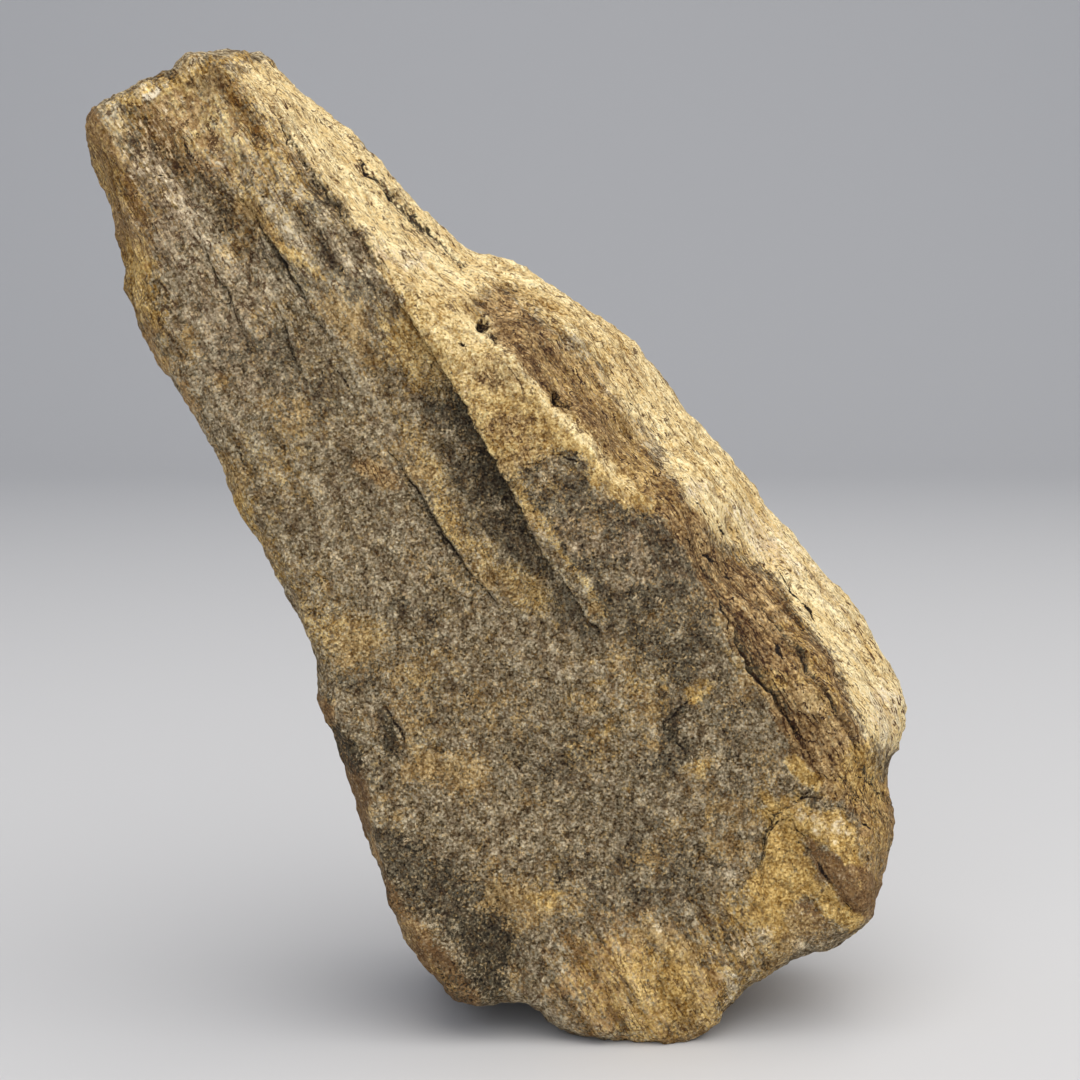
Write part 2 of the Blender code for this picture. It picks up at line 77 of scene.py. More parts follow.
GRAIN_TILT = math.radians(59.0)  # how steeply the grain runs down to the right
GRAIN = np.array((math.cos(GRAIN_TILT), 0.0, -math.sin(GRAIN_TILT)))

# ---- Relief ----

# A line or an outline is its points' two numbers in turn: x,z for ledges and u,v in pixels for the rest.

# Ledges, walked downwards. The stone to the right of one stands proud by rise, or lower if that is under 0.
# crack: how wide and deep the line at its foot is. Then over how many millimetres the dark stone and the
# painted shade below it fade, and how much of its upper edge is painted tan, as wear and as a painted
# highlight.
# solid: where the solid has it, if that is elsewhere.
Ledge = namedtuple("Ledge", "rise crack shade worn line solid", defaults=[None])
LEDGES = [
    # the main ledge
    Ledge(2.6, 1.0, 2.5, 0.5,
        [-17,88, -13.7,82.5, -10.5,78, -7.6,73, -4.9,68.5, -2.9,65, -1.1,61.3, 1.5,57.2, 4.2,52.8, 7.6,48.2],
        [-18,88, -15.5,82.5, -12,78, -9,73, -6,68.5, -3.5,65, -1.2,61.3, 1.5,57.2, 4.2,52.8, 7.6,48.2]),
    # the second step
    Ledge(0.9, 0.6, 0.8, 0.5, [-18.2,71.5, -16,67.8, -14,65.2, -11.3,60.7, -7.6,55.4, -3.6,50.5]),
    # the streaked upper part
    Ledge(0.9, 0.3, 0.5, 0.4, [-36.5,102, -33,96.7, -29.6,92.3, -26.3,86, -22.5,80]),
    Ledge(0.9, 0.3, 0.2, 0.5, [-33.4,113.8, -30.2,108, -25.5,100.8, -20.8,94.4, -17,90.5]),
    Ledge(0.7, 0.4, 0.5, 0.5, [-24,107.5, -19.5,102, -14.5,97, -9,92, -5,88]),
    Ledge(0.6, 0.2, 0.4, 0.3, [-31,88, -29,82, -27,77]),
    Ledge(0.6, 0.3, 0.4, 0.3, [-41.5,98, -39,92.5, -36,87, -33.5,82]),
    # the reddish brown strip's two edges
    Ledge(-1.1, 0.45, 0.9, 0.0, [17.5,59.5, 19,56.6, 21,52.7, 23,48, 25.5,43.6, 29,38.5, 31.5,34]),
    Ledge(0.7, 0.4, 0.4, 0.0, [24,55.5, 28,50, 32.5,44, 36.5,37.5, 39.5,32]),
    # the lump's upper edge
    Ledge(1.0, 0.45, 0.3, 0.0, [34,31.5, 30.8,28.9, 28.2,26.8, 27,24.8, 26.7,21.6, 26,17.5]),
]  # fmt: skip
# The same on the back. The solid has none of these.
BACK_LEDGES = [
    Ledge(1.5, 0.7, 1.6, 0.6, [-34,104, -30,97, -25.5,90, -22,83, -17,76, -13,70, -9.5,62]),
    Ledge(-1.2, 0.6, 1.2, 0.5, [-44,92, -40,85, -37.5,79, -33,72, -29,65, -27,59]),
    Ledge(1.1, 0.5, 1.0, 0.5, [-8,84, -3,76, 2,70, 6,62, 12,54, 15,46]),
    Ledge(-1.4, 0.6, 1.4, 0.6, [-20,52, -15,44, -11,38, -5,31, 0,23, 3,16]),
    Ledge(1.1, 0.5, 1.0, 0.5, [12,78, 18,70, 23,62, 29,55, 33,47, 36,39]),
    Ledge(0.9, 0.5, 0.8, 0.5, [10,40, 15,33, 19,25, 26,18, 30,12]),
    Ledge(-0.8, 0.5, 0.8, 0.4, [-38,110, -33,103, -28,98]),
    Ledge(0.9, 0.4, 0.8, 0.4, [-22,34, -17,27, -13,20, -8,12]),
]  # fmt: skip
LEDGE_CRISP = 0.2  # half the width of a ledge in the stone
LEDGE_SOFT = 2.0  # half the width of the solid's own ledges, which the crisp ones take the place of
BACK_LEDGE_SOFT = 5.0  # the solid has none of the back's, and these fade out over this
LEDGE_REACH, SHADE_REACH = 6.0, 12.0  # how far away a ledge's rise and its colours are still worked out
LEDGE_WORN_AND_LIT = 0.7  # how far the upper edge's tan, wear and a painted highlight, reaches
# Where the line at a ledge's foot lies, and its half width and depth where crack is 1.
FOOT, FOOT_WIDTH, FOOT_DEPTH = -0.25, 0.28, 0.35

# Pits in the groove, their long side along the grain: long and across are half sizes.
Pit = namedtuple("Pit", "x z long across depth")
PITS = [
    Pit(-6.6, 84.9, 0.65, 0.36, 1.2),
    Pit(-5.5, 83.7, 0.4, 0.25, 0.7),
    Pit(2.1, 76.4, 0.8, 0.42, 1.5),
    Pit(3.4, 75.5, 0.5, 0.33, 0.9),
    Pit(-9.3, 82.6, 0.3, 0.22, 0.4),
]
PIT_REACH = 1.6  # how near a pit's middle the mesh is finest
PIT_DARK = 0.65  # what a pit's edge counts as, where 0 is a crack's middle and 1 its dark line's edge

# Waves of the broken surface: feature size, how much longer it is along the grain, its height,
# and how many flats one wave breaks into, or 0.
Wave = namedtuple("Wave", "size stretch height flats")
SPLIT = [Wave(3.4, 6.0, 0.42, 3.0), Wave(1.7, 6.0, 0.32, 2.5), Wave(0.9, 5.0, 0.16, 0)]
GRIT = [Wave(5.0, 1.6, 0.40, 0), Wave(2.6, 1.6, 0.36, 2.0), Wave(1.3, 1.4, 0.25, 0), Wave(0.8, 1.0, 0.15, 0)]
WAVE_SEED_STEP = 13.0
RISER = 0.14  # half of the share of a flat that its riser takes
SPLIT_FLOOR = 0.35  # how much of the splitting shows where the stone isn't streaked
CREAM_SMOOTHER = 0.65  # how much of it the pale weathering hides

# How the lines wander: the seed, and for each wave its size in millimetres and how far it pushes them.
Wander = namedtuple("Wander", "seed waves")
AXIS_SEED_STEP = 5.0
LEDGE_WANDER = Wander(41.0, [(3.0, 0.45), (1.1, 0.25)])  # in millimetres
PIT_WANDER = Wander(83.0, [(0.8, 0.35)])
PATCH_WANDER = Wander(7.0, [(9.0, 11.0), (3.0, 11.0), (1.3, 6.0)])  # in pixels
CRACK_WANDER = Wander(67.0, [(3.0, 3.5), (1.1, 2.0)])

# A share that comes and goes: over how many millimetres, its usual level, its swing, its most, its seed.
Blotch = namedtuple("Blotch", "size level swing most seed")

# A crack, walked along its middle. width is half of its width in pixels, and depth in millimetres.
Crack = namedtuple("Crack", "width depth line")
CRACKS = [
    Crack(1.5, 0.3, [536,540, 556,570, 578,603, 592,622, 606,641]),
    Crack(1.6, 0.28, [703,566, 712,590, 722,612, 724,632, 735,648, 748,662, 762,682]),
    Crack(1.5, 0.22, [672,530, 690,541, 706,555, 720,570, 736,580]),
    Crack(2.1, 0.28, [758,618, 772,640, 785,660, 800,685, 810,705, 817,722]),
    Crack(1.5, 0.22, [738,696, 744,708, 757,723]),
    Crack(1.7, 0.28, [776,700, 790,722, 806,744, 820,764, 834,786]),
    Crack(1.1, 0.22, [764,862, 766,838, 776,822, 790,816, 800,830]),
    Crack(1.2, 0.2, [784,788, 800,797, 830,800, 852,812]),
    Crack(2.0, 0.33, [690,699, 678,710, 664,724, 674,742, 688,758]),
    Crack(1.4, 0.17, [630,752, 644,768, 662,768]),
    Crack(1.6, 0.28, [316,338, 328,358, 342,378, 354,398]),
    Crack(1.2, 0.17, [140,160, 155,170, 170,178, 182,184]),
    Crack(1.2, 0.17, [505,477, 524,464, 536,464, 548,455, 562,453, 576,460, 590,474, 618,488]),
    Crack(1.1, 0.17, [414,638, 424,655, 432,670, 442,687]),
    Crack(1.1, 0.17, [564,668, 568,688, 574,704]),
    Crack(1.9, 0.28, [380,708, 393,716, 401,731, 405,745, 402,757]),
    Crack(1.7, 0.3, [796,826, 808,846, 820,868, 834,888, 850,908, 858,920]),
    Crack(1.2, 0.22, [835,772, 850,788, 868,806, 888,822]),
    Crack(1.1, 0.2, [852,758, 866,778, 884,800, 896,812]),
    Crack(1.1, 0.18, [826,790, 846,808, 866,826, 884,846]),
    Crack(1.1, 0.17, [595,445, 604,455, 612,466]),
    Crack(1.2, 0.17, [165,112, 176,134, 188,152, 206,170]),
    Crack(1.2, 0.17, [612,380, 632,404, 650,424, 672,446]),
    Crack(1.1, 0.17, [686,492, 700,505, 716,524, 730,545]),
    Crack(1.4, 0.17, [776,566, 792,590, 812,612, 826,636]),
    Crack(1.1, 0.17, [500,745, 520,770, 536,792]),
    Crack(1.1, 0.17, [214,296, 232,306, 248,318, 262,330]),
]  # fmt: skip
CRACK_REACH = 16.0  # pixels, how far away a crack is still worked out
FAR_GAP = 4.0  # how far a crack counts as being where there is none
UNEVEN, UNEVEN_LEAST = Blotch(2.4, 0.6, 1.3, 1.0, 71.0), 0.22  # how the width of a crack's line varies

# ---- Weathering and painted shade, where the camera sees it ----

# Each patch: its kind, its strength, how soft its edge is in pixels, and its outline. The kinds are
# weathering, save the last of GRAINS, which is dark stone together with painted shade.
LIP_END = [600,440, 640,450, 690,500, 702,522, 660,515, 620,490]  # fmt: skip
YELLOW_CHIP = [783,757, 798,755, 814,771, 825,784, 818,791, 800,783, 788,772]  # fmt: skip
PATCHES = [
    # the cream weathering of the long right slope, the saddle and the hump
    ("pale", 1.0, 6, [610,370, 640,360, 700,395, 760,465, 820,530, 875,590, 912,650, 925,690, 910,745,
        875,752, 868,730, 858,712, 846,690, 842,668, 830,648, 812,632, 797,612, 783,588, 762,566, 737,549,
        714,528, 692,503, 674,474, 664,442, 646,418, 628,396]),
    ("pale", 0.75, 12, [470,230, 540,250, 595,283, 635,325, 690,390, 702,420, 700,470, 680,455, 655,432,
        636,412, 620,385, 600,365, 570,340, 540,310, 505,285, 480,262]),
    ("pale", 1.0, 8, [245,70, 290,65, 340,108, 390,160, 435,207, 475,235, 500,285, 470,300, 440,290, 405,288,
        378,268, 352,232, 330,193, 306,158, 284,130, 263,102]),
    ("pale", 0.95, 4, [243,78, 258,86, 277,105, 294,130, 317,160, 337,188, 354,215, 335,205, 318,185, 300,155,
        285,130, 268,112, 255,98]),
    ("tan", 0.8, 10, [245,70, 290,65, 340,108, 390,160, 435,207, 475,235, 540,250, 595,283, 635,325, 690,390,
        702,470, 640,412, 570,345, 505,290, 470,300, 440,290, 415,280, 390,262, 365,225, 312,155, 265,100]),
    ("ochre", 0.35, 12, [650,415, 690,420, 740,470, 775,530, 760,545, 700,490]),
    ("ochre", 0.15, 10, [460,240, 520,255, 560,290, 580,330, 530,340, 480,300]),
    ("earth", 0.3, 10, [602,328, 640,350, 674,398, 652,408, 618,372]),
    ("earth", 0.25, 10, [402,180, 440,205, 472,240, 452,250, 415,225]),
    ("grey", 0.5, 12, [520,262, 575,280, 600,320, 570,330, 540,300]),
    # painted light on the saddle, where the lamps leave it in shade
    ("white", 0.45, 8, [715,500, 750,505, 790,545, 800,580, 765,560, 735,530]),
    ("white", 0.35, 10, [735,490, 775,520, 815,565, 860,620, 880,660, 860,660, 835,620, 800,580, 765,545]),
    ("white", 0.5, 6, [862,690, 885,680, 905,700, 900,745, 882,752, 870,725]),
    ("fleck", 0.8, 12, [835,570, 880,610, 915,660, 918,720, 900,760, 880,745, 872,700, 858,660, 838,625,
        822,590]),
    ("fleck", 0.6, 8, [690,480, 720,500, 750,540, 790,580, 822,625, 850,665, 868,710, 880,750, 860,735,
        838,690, 812,650, 780,605, 750,565, 712,520]),
    ("fleck", 0.65, 14, [600,330, 650,370, 690,410, 730,455, 700,470, 660,430, 620,385]),
    ("fleck", 0.6, 20, [250,70, 340,110, 435,205, 520,260, 500,300, 420,270, 350,220, 300,160]),
    # the tan plateau, and the strips beside the ledges
    ("tan", 0.95, 8, [385,262, 440,285, 470,300, 505,345, 535,375, 560,410, 590,440, 620,478, 640,495,
        610,490, 585,470, 565,456, 545,462, 520,470, 505,478, 490,455, 470,425, 450,395, 430,360, 405,315]),
    ("pale", 0.5, 10, [400,262, 440,285, 470,300, 490,325, 520,350, 545,385, 520,395, 490,390, 470,390,
        455,370, 440,345, 420,315, 408,290]),
    ("brown", 0.5, 5, [462,345, 500,352, 528,378, 520,395, 495,392, 470,375]),
    ("brown", 0.5, 5, [480,405, 500,400, 528,415, 545,440, 530,462, 505,455, 488,435]),
    ("tan", 0.2, 8, [515,470, 560,462, 580,490, 560,512, 530,505]),
    ("tan", 0.6, 9, [395,400, 415,425, 440,455, 455,490, 475,530, 500,560, 540,575, 552,600, 545,622, 520,612,
        495,590, 465,560, 440,520, 420,480, 400,440]),
    ("tan", 0.6, 3, [478,418, 500,460, 513,485, 527,510, 542,532, 562,560, 592,600, 606,622, 610,612, 592,582,
        568,552, 548,524, 532,498, 520,476, 508,450, 492,420]),
    ("brown", 0.8, 4, [350,458, 372,458, 395,478, 402,490, 385,492, 362,478]),
    # the groove, and its bright lip
    ("brown", 0.85, 4, [478,302, 500,290, 528,312, 558,340, 596,368, 612,392, 628,418, 646,444, 664,470,
        686,500, 708,528, 695,535, 672,512, 645,492, 622,470, 598,448, 578,428, 558,405, 537,378, 516,357,
        492,336]),
    ("pale", 0.8, 3, [459,309, 484,328, 512,343, 534,359, 546,376, 553,401, 571,423, 592,439, 618,466,
        640,490, 628,494, 607,474, 582,449, 561,431, 541,405, 534,380, 524,367, 506,352, 476,338, 458,320]),
    ("tan", 0.75, 9, [560,400, 590,430, 640,470, 690,500, 730,530, 700,545, 670,520, 640,505, 600,480,
        575,450]),
    ("ochre", 0.35, 8, [545,335, 600,372, 650,440, 672,486, 650,480, 590,420]),
    ("ochre", 0.15, 10, [460,290, 500,295, 560,335, 590,380, 560,400, 510,360, 470,330]),
    ("tan", 0.4, 8, LIP_END),
    ("ochre", 0.35, 8, LIP_END),
    ("umber", 0.5, 6, [585,395, 605,400, 640,440, 655,470, 640,475, 612,445]),
    ("shade", 0.15, 6, [485,305, 505,300, 540,325, 575,350, 605,385, 632,420, 655,455, 690,505, 680,512,
        640,480, 600,440, 560,390, 520,345]),
    # the reddish brown strip
    ("brown", 0.85, 4, [655,505, 672,503, 694,528, 720,553, 750,566, 776,592, 797,622, 830,655, 842,690,
        855,715, 868,740, 872,765, 890,790, 895,820, 870,830, 845,805, 820,790, 800,765, 785,735, 765,700,
        752,672, 735,650, 722,620, 708,595, 690,565, 672,535]),
    ("tan", 0.6, 5, [728,648, 745,636, 762,640, 785,672, 802,705, 800,725, 780,715, 762,690]),
    ("tan", 0.5, 6, [770,588, 790,600, 812,632, 800,640, 782,620]),
    ("tan", 0.5, 6, [655,505, 680,505, 700,525, 690,532, 668,522]),
    ("ochre", 0.5, 7, [775,625, 800,628, 812,655, 845,700, 850,725, 830,720, 805,680, 785,650]),
    ("ochre", 0.5, 6, [726,545, 745,548, 752,566, 735,568]),
    ("ochre", 0.7, 6, [752,662, 790,668, 790,690, 765,690]),
    ("ochre", 0.9, 3, YELLOW_CHIP),
    ("pale", 0.9, 3, YELLOW_CHIP),
    ("shade", 0.2, 5, [672,530, 694,530, 712,556, 730,590, 748,625, 766,652, 790,690, 815,730, 800,735,
        770,690, 744,655, 722,615, 700,575]),
    # the blunt right corner
    ("earth", 0.8, 8, [842,776, 895,776, 903,838, 895,905, 858,930, 838,905, 815,860, 808,838, 820,845,
        840,870, 862,860, 856,815]),
    ("brown", 0.5, 8, [832,768, 885,776, 896,830, 886,880, 868,850, 850,812]),
    ("ochre", 0.3, 8, [840,775, 892,780, 900,850, 886,905, 862,880, 858,820]),
    ("ochre", 0.6, 8, [845,735, 870,750, 890,790, 880,800, 860,785, 845,765]),
    ("umber", 0.35, 12, [856,790, 885,780, 900,800, 900,850, 885,890, 866,880, 862,850, 868,820]),
    ("shade", 0.45, 3, [838,775, 848,779, 872,806, 893,824, 886,828, 862,810]),
    ("shade", 0.45, 3, [852,756, 862,761, 884,790, 897,806, 890,809, 868,786]),
    ("shade", 0.4, 3, [800,789, 822,795, 850,811, 868,818, 850,821, 824,808]),
    # the tip
    ("tan", 0.3, 20, [100,95, 240,55, 262,100, 300,150, 330,200, 300,230, 260,180, 220,150, 160,150,
        120,120]),
    ("tan", 0.4, 14, [110,108, 240,60, 290,140, 300,190, 220,170, 160,165]),
    ("tan", 0.7, 3, [238,182, 251,197, 268,220, 290,246, 310,266, 328,280, 321,284, 299,270, 275,248, 256,225,
        242,204]),
    ("grey", 0.3, 14, [100,115, 240,60, 270,110, 300,160, 280,190, 220,170, 160,165]),
    ("grey", 1.0, 8, [116,140, 140,150, 170,180, 200,210, 200,235, 170,245, 145,205]),
    ("earth", 0.5, 10, [120,115, 175,85, 240,130, 235,185, 190,185, 150,165]),
    ("earth", 0.35, 14, [105,112, 240,60, 300,150, 310,210, 220,180, 150,160]),
    ("ochre", 0.6, 4, [112,100, 140,84, 172,72, 205,62, 250,50, 255,58, 210,72, 182,90, 150,102, 124,112]),
    ("white", 0.3, 3, [120,96, 168,74, 205,60, 206,66, 172,82, 130,100]),
    ("white", 0.25, 8, [112,112, 165,115, 178,165, 152,190, 130,160]),
    ("white", 0.3, 6, [128,145, 150,160, 180,195, 188,220, 165,215, 140,180]),
    ("dark", 0.3, 10, [195,180, 230,180, 250,210, 245,232, 212,230, 190,205]),
    ("dark", 0.7, 4, [116,128, 132,124, 142,134, 136,150, 120,148]),
    ("dark", 0.7, 7, [300,180, 325,185, 335,215, 325,250, 310,240, 300,215]),
    ("dark", 1.0, 5, [318,240, 336,262, 352,258, 372,285, 366,306, 345,300, 326,285, 306,262]),
    ("dark", 0.75, 7, [245,235, 275,240, 300,270, 322,300, 300,305, 268,280]),
    # the narrow facet beside the tip, and the left edge
    ("earth", 0.9, 4, [60,125, 97,108, 121,147, 140,190, 155,230, 160,262, 130,290, 90,200]),
    ("umber", 0.6, 3, [60,125, 97,108, 121,147, 140,190, 155,230, 160,252, 130,268, 90,200]),
    ("earth", 0.85, 6, [115,290, 148,300, 168,350, 198,400, 224,450, 250,520, 280,570, 250,570, 220,510,
        190,440, 160,385, 130,335]),
    ("ochre", 0.3, 6, [70,130, 100,120, 150,220, 165,270, 130,290, 95,200]),
    ("ochre", 0.6, 8, [112,245, 142,248, 156,280, 162,312, 142,322, 120,290]),
    ("ochre", 0.25, 8, [142,310, 165,300, 182,350, 165,368, 145,335]),
    ("ochre", 0.45, 6, [212,475, 240,495, 264,540, 288,580, 270,590, 238,540]),
    # the trough: dark stone with the ledge's shadow painted over it, and the bare stone below the plateau
    ("dark", 1.0, 8, [446,374, 458,388, 482,430, 505,468, 525,510, 548,550, 575,592, 606,640, 592,644,
        568,620, 548,590, 518,568, 492,550, 474,524, 458,490, 440,455, 428,425, 420,390]),
    ("shade", 0.6, 5, [446,375, 458,390, 484,434, 507,472, 522,500, 514,510, 490,478, 468,440, 448,402]),
    ("tan", 0.75, 10, [372,300, 410,315, 436,365, 440,395, 412,385, 385,345]),
    ("dark", 0.95, 6, [508,482, 528,466, 540,462, 562,452, 585,459, 602,477, 640,499, 672,508, 690,540,
        705,585, 718,620, 725,650, 715,680, 690,690, 655,670, 635,650, 612,630, 596,600, 570,562, 548,530,
        524,500]),
    ("grey", 0.5, 12, [555,505, 600,518, 640,535, 625,555, 590,562, 560,548, 545,525]),
    ("grey", 0.4, 10, [610,505, 670,515, 700,560, 690,600, 650,590, 620,550]),
    # the open face
    ("tan", 0.55, 10, [300,620, 380,616, 392,640, 370,660, 345,665, 320,650]),
    ("tan", 0.6, 8, [400,662, 430,658, 434,685, 405,690]),
    ("tan", 0.45, 10, [240,442, 278,450, 274,470, 245,464]),
    ("tan", 0.25, 14, [620,650, 660,640, 690,690, 660,720, 620,700]),
    ("tan", 0.35, 25, [280,560, 330,560, 345,610, 330,680, 310,640, 290,600]),
    ("grey", 0.5, 30, [140,230, 260,240, 300,330, 280,420, 220,420, 170,340]),
    ("rust", 0.5, 16, [370,650, 440,640, 520,690, 540,740, 470,745, 390,700]),
    ("rust", 0.7, 14, [690,780, 770,790, 764,850, 740,880, 690,860]),
    ("dark", 0.5, 16, [690,640, 730,655, 755,680, 770,705, 785,740, 780,770, 768,790, 735,800, 715,790,
        700,760, 690,720, 650,690]),
    ("dark", 0.6, 14, [540,850, 570,840, 600,850, 640,840, 690,845, 715,865, 725,890, 715,925, 680,915,
        640,915, 600,935, 570,920, 545,890]),
    ("dark", 0.75, 7, [660,690, 685,695, 690,720, 680,745, 690,765, 670,780, 640,775, 630,760, 655,750,
        660,720]),
    ("shade", 0.7, 4, [661,720, 678,707, 690,699, 689,713, 677,725, 682,744, 692,752, 685,761, 670,746,
        661,731]),
    # dark stone and the painted shadow of a small flake's edge, beside the crack along it
    ("dark", 0.9, 4, [378,712, 392,715, 402,738, 402,755, 390,758, 384,740]),
    ("shade", 0.75, 4, [377,716, 391,716, 400,733, 402,754, 388,757, 379,740]),
    ("dark", 0.6, 18, [230,320, 300,330, 345,370, 360,420, 330,440, 280,430, 240,390, 215,350]),
    ("dark", 0.5, 12, [360,580, 420,585, 450,610, 440,640, 400,630, 365,610]),
    ("dark", 0.3, 10, [460,740, 520,730, 555,750, 560,785, 530,800, 490,785]),
    ("dark", 0.6, 7, [565,722, 595,722, 600,760, 580,768, 560,755]),
    ("dark", 0.5, 9, [335,662, 372,655, 385,680, 370,700, 345,690]),
    ("dark", 0.6, 8, [365,752, 395,760, 392,790, 372,790]),
    # the nook in the left flank: its brown facets, and painted shade in the nook over its dark stone
    ("earth", 0.9, 6, [305,695, 335,700, 345,740, 362,790, 375,830, 385,870, 355,880, 335,830, 320,780,
        305,730]),
    ("umber", 0.8, 3, [316,690, 330,704, 340,726, 354,750, 366,770, 371,800, 374,836, 352,830, 340,790,
        326,740]),
    ("dark", 0.7, 6, [296,690, 328,698, 342,740, 352,780, 336,792, 312,750]),
    ("shade", 0.75, 4, [330,718, 340,722, 352,742, 365,764, 358,772, 344,764, 334,745]),
    # the slate lobe at the lower left
    ("umber", 0.95, 4, [350,862, 380,868, 396,888, 412,912, 430,940, 462,968, 478,990, 486,1010, 400,1010,
        370,930]),
    ("dark", 0.95, 9, [385,832, 430,838, 462,868, 490,900, 512,930, 512,975, 486,995, 466,962, 445,930,
        415,905, 395,880]),
    ("rust", 0.4, 4, [404,898, 424,908, 438,940, 432,954, 416,930]),
    ("shade", 0.4, 6, [385,838, 425,840, 455,868, 478,905, 508,925, 514,985, 492,1012, 465,985, 442,940,
        412,905, 392,878]),
    ("shade", 0.35, 5, [430,955, 455,968, 480,990, 470,1012, 430,1008]),
    ("shade", 0.45, 6, [455,915, 490,915, 510,935, 508,1000, 485,1005, 468,965]),
    ("shade", 0.3, 4, [372,870, 390,872, 408,905, 404,925, 385,905]),
    # the yellow-brown lump at the lower right
    ("ochre", 0.95, 5, [766,830, 785,825, 800,836, 806,858, 824,885, 850,912, 832,906, 806,898, 786,908,
        782,935, 752,915, 748,885, 762,862]),
    ("ochre", 0.95, 4, [786,800, 800,795, 815,812, 845,815, 858,840, 864,864, 850,868, 830,852, 812,840,
        800,830, 790,815]),
    ("ochre", 0.7, 6, [768,800, 790,795, 806,812, 812,838, 800,845, 786,826, 772,822]),
    ("ochre", 0.5, 6, [755,792, 788,786, 804,800, 792,828, 768,835, 752,815]),
    ("ochre", 0.8, 5, [820,890, 850,912, 860,922, 835,925, 815,912]),
    ("ochre", 0.5, 16, [700,900, 735,868, 765,868, 790,930, 750,950, 712,935]),
    ("white", 0.4, 5, [790,800, 804,800, 818,815, 845,820, 856,842, 836,850, 808,832]),
    ("umber", 0.95, 3, [804,834, 822,852, 845,860, 866,868, 884,885, 884,908, 862,922, 848,905, 828,884,
        812,860]),
    ("umber", 0.75, 5, [792,902, 812,906, 828,918, 822,938, 800,942, 788,925]),
    # the foot of the front lobe
    ("earth", 0.75, 26, [540,980, 560,940, 620,920, 690,935, 745,960, 745,1000, 700,1060, 590,1060,
        560,1020]),
    ("ochre", 0.4, 16, [640,950, 720,940, 780,945, 765,1000, 720,1045, 660,1060, 620,1040]),
    ("ochre", 0.45, 20, [560,950, 640,925, 690,960, 700,1000, 660,1040, 590,1030, 560,990]),
    # where the stone splits in long streaks
    ("streak", 1.0, 30, [60,40, 300,20, 560,200, 960,620, 930,800, 800,770, 700,590, 600,470, 480,330,
        400,330, 330,320, 250,330, 120,330]),
    ("streak", 0.75, 25, [510,940, 640,920, 770,880, 780,1070, 520,1070]),
    ("streak", 0.4, 40, [120,320, 400,330, 420,480, 280,560, 180,440]),
]  # fmt: skip
PATCH_SOFT = 1.7  # how many times its softness a patch's edge is wide, each way
SOFT_ENOUGH = 8.0  # a patch with an edge this soft wanders in full, and a crisper one less

# Round spots of each kind: strength, middle, half width and half height.
SPOTS = {
    "rust": [
        (0.55, 592, 702, 24, 18), (0.6, 643, 743, 19, 17), (0.6, 423, 750, 30, 30), (0.75, 392, 810, 23, 15),
        (0.6, 488, 880, 26, 40), (0.7, 646, 932, 22, 20), (0.8, 416, 471, 16, 12), (0.7, 510, 470, 9, 26),
        (0.8, 524, 508, 10, 12), (0.6, 588, 722, 22, 16), (0.6, 324, 608, 14, 10), (0.6, 248, 195, 14, 16),
        (0.8, 602, 605, 12, 16), (0.5, 522, 590, 26, 20), (0.6, 225, 378, 13, 11), (0.6, 255, 335, 9, 26),
        (0.6, 190, 335, 9, 22), (0.8, 537, 800, 12, 8), (0.8, 514, 984, 10, 13), (0.6, 690, 955, 30, 40),
        (0.6, 640, 450, 14, 30), (0.5, 150, 240, 12, 40), (0.5, 270, 590, 16, 30), (0.5, 360, 730, 12, 16),
        (0.5, 640, 860, 20, 14),
    ],
    "tan": [
        (0.3, 423, 745, 22, 26), (0.8, 700, 768, 9, 12), (0.7, 172, 95, 15, 10),
    ],
    "ochre": [
        (0.3, 550, 900, 30, 24), (0.6, 700, 700, 14, 12), (0.8, 845, 921, 18, 8),
    ],
    "white": [
        (1.0, 152, 93, 5, 5), (0.8, 655, 926, 4, 8), (0.42, 745, 938, 14, 12), (0.42, 768, 926, 16, 9),
        (0.4, 800, 946, 14, 6), (0.5, 726, 985, 6, 20), (0.4, 722, 878, 12, 8), (0.6, 410, 262, 14, 12),
        (0.5, 700, 490, 12, 8), (0.5, 380, 255, 10, 14),
    ],
    "dark": [
        (1.0, 410, 452, 8, 6), (1.0, 731, 573, 9, 10), (0.8, 744, 630, 7, 7), (0.8, 712, 586, 8, 20),
    ],
}  # fmt: skip
SPOT_SOFT = 1.6

# How the kinds come and go within their patches.
BROKEN_UP = {
    "rust": Blotch(1.6, 0.65, 1.8, 1.0, 61.0),
    "dark": Blotch(2.6, 0.9, 1.4, 1.0, 70.0),
    "earth": Blotch(3.0, 0.9, 1.2, 1.0, 79.0),
}
# What the far side has in place of patches. They are drawn out along the grain.
FAR_SIDE = {
    "tan": Blotch(21.0, 0.35, 1.5, 0.9, 31.0),
    "brown": Blotch(14.0, 0.2, 1.6, 0.9, 42.0),
    "dark": Blotch(17.0, 0.15, 1.5, 0.9, 53.0),
    "rust": Blotch(9.0, -0.1, 1.6, 0.9, 64.0),
    "pale": Blotch(26.0, 0.0, 1.4, 0.9, 75.0),
    "ochre": Blotch(12.0, -0.2, 1.5, 0.9, 86.0),
}
FAR_STRETCH, FAR_STREAK = 1.8, 0.6
FAR_FLECKS = Blotch(19.0, 0.2, 1.6, 0.8, 97.0)
# Faint stains, ochre's on the seen side alone. Rust and ochre keep off dark and off pale stone.
RUST_STAIN = Blotch(6.5, -0.12, 1.5, 0.7, 3.0)
OCHRE_STAIN = Blotch(12.0, -0.12, 1.0, 0.25, 51.0)
DARK_STAIN = Blotch(11.0, -0.05, 0.8, 0.4, 17.0)
OFF_DARK, OFF_PALE = 0.7, 0.9

FLECK_SIZE, FLECK_STRETCH, FLECK_SEED = 0.7, 2.2, 113.0
VEIN_SIZE, VEIN_STRETCH, VEIN_SEED = 1.8, 7.0, 151.0
HOLLOW_ROUNDS = 6  # how widely the surface is evened out to tell a hollow from a crest
HOLLOW_SHADE_DEPTH = 0.16  # from a crest with the most painted highlight down to a hollow with the most painted shade
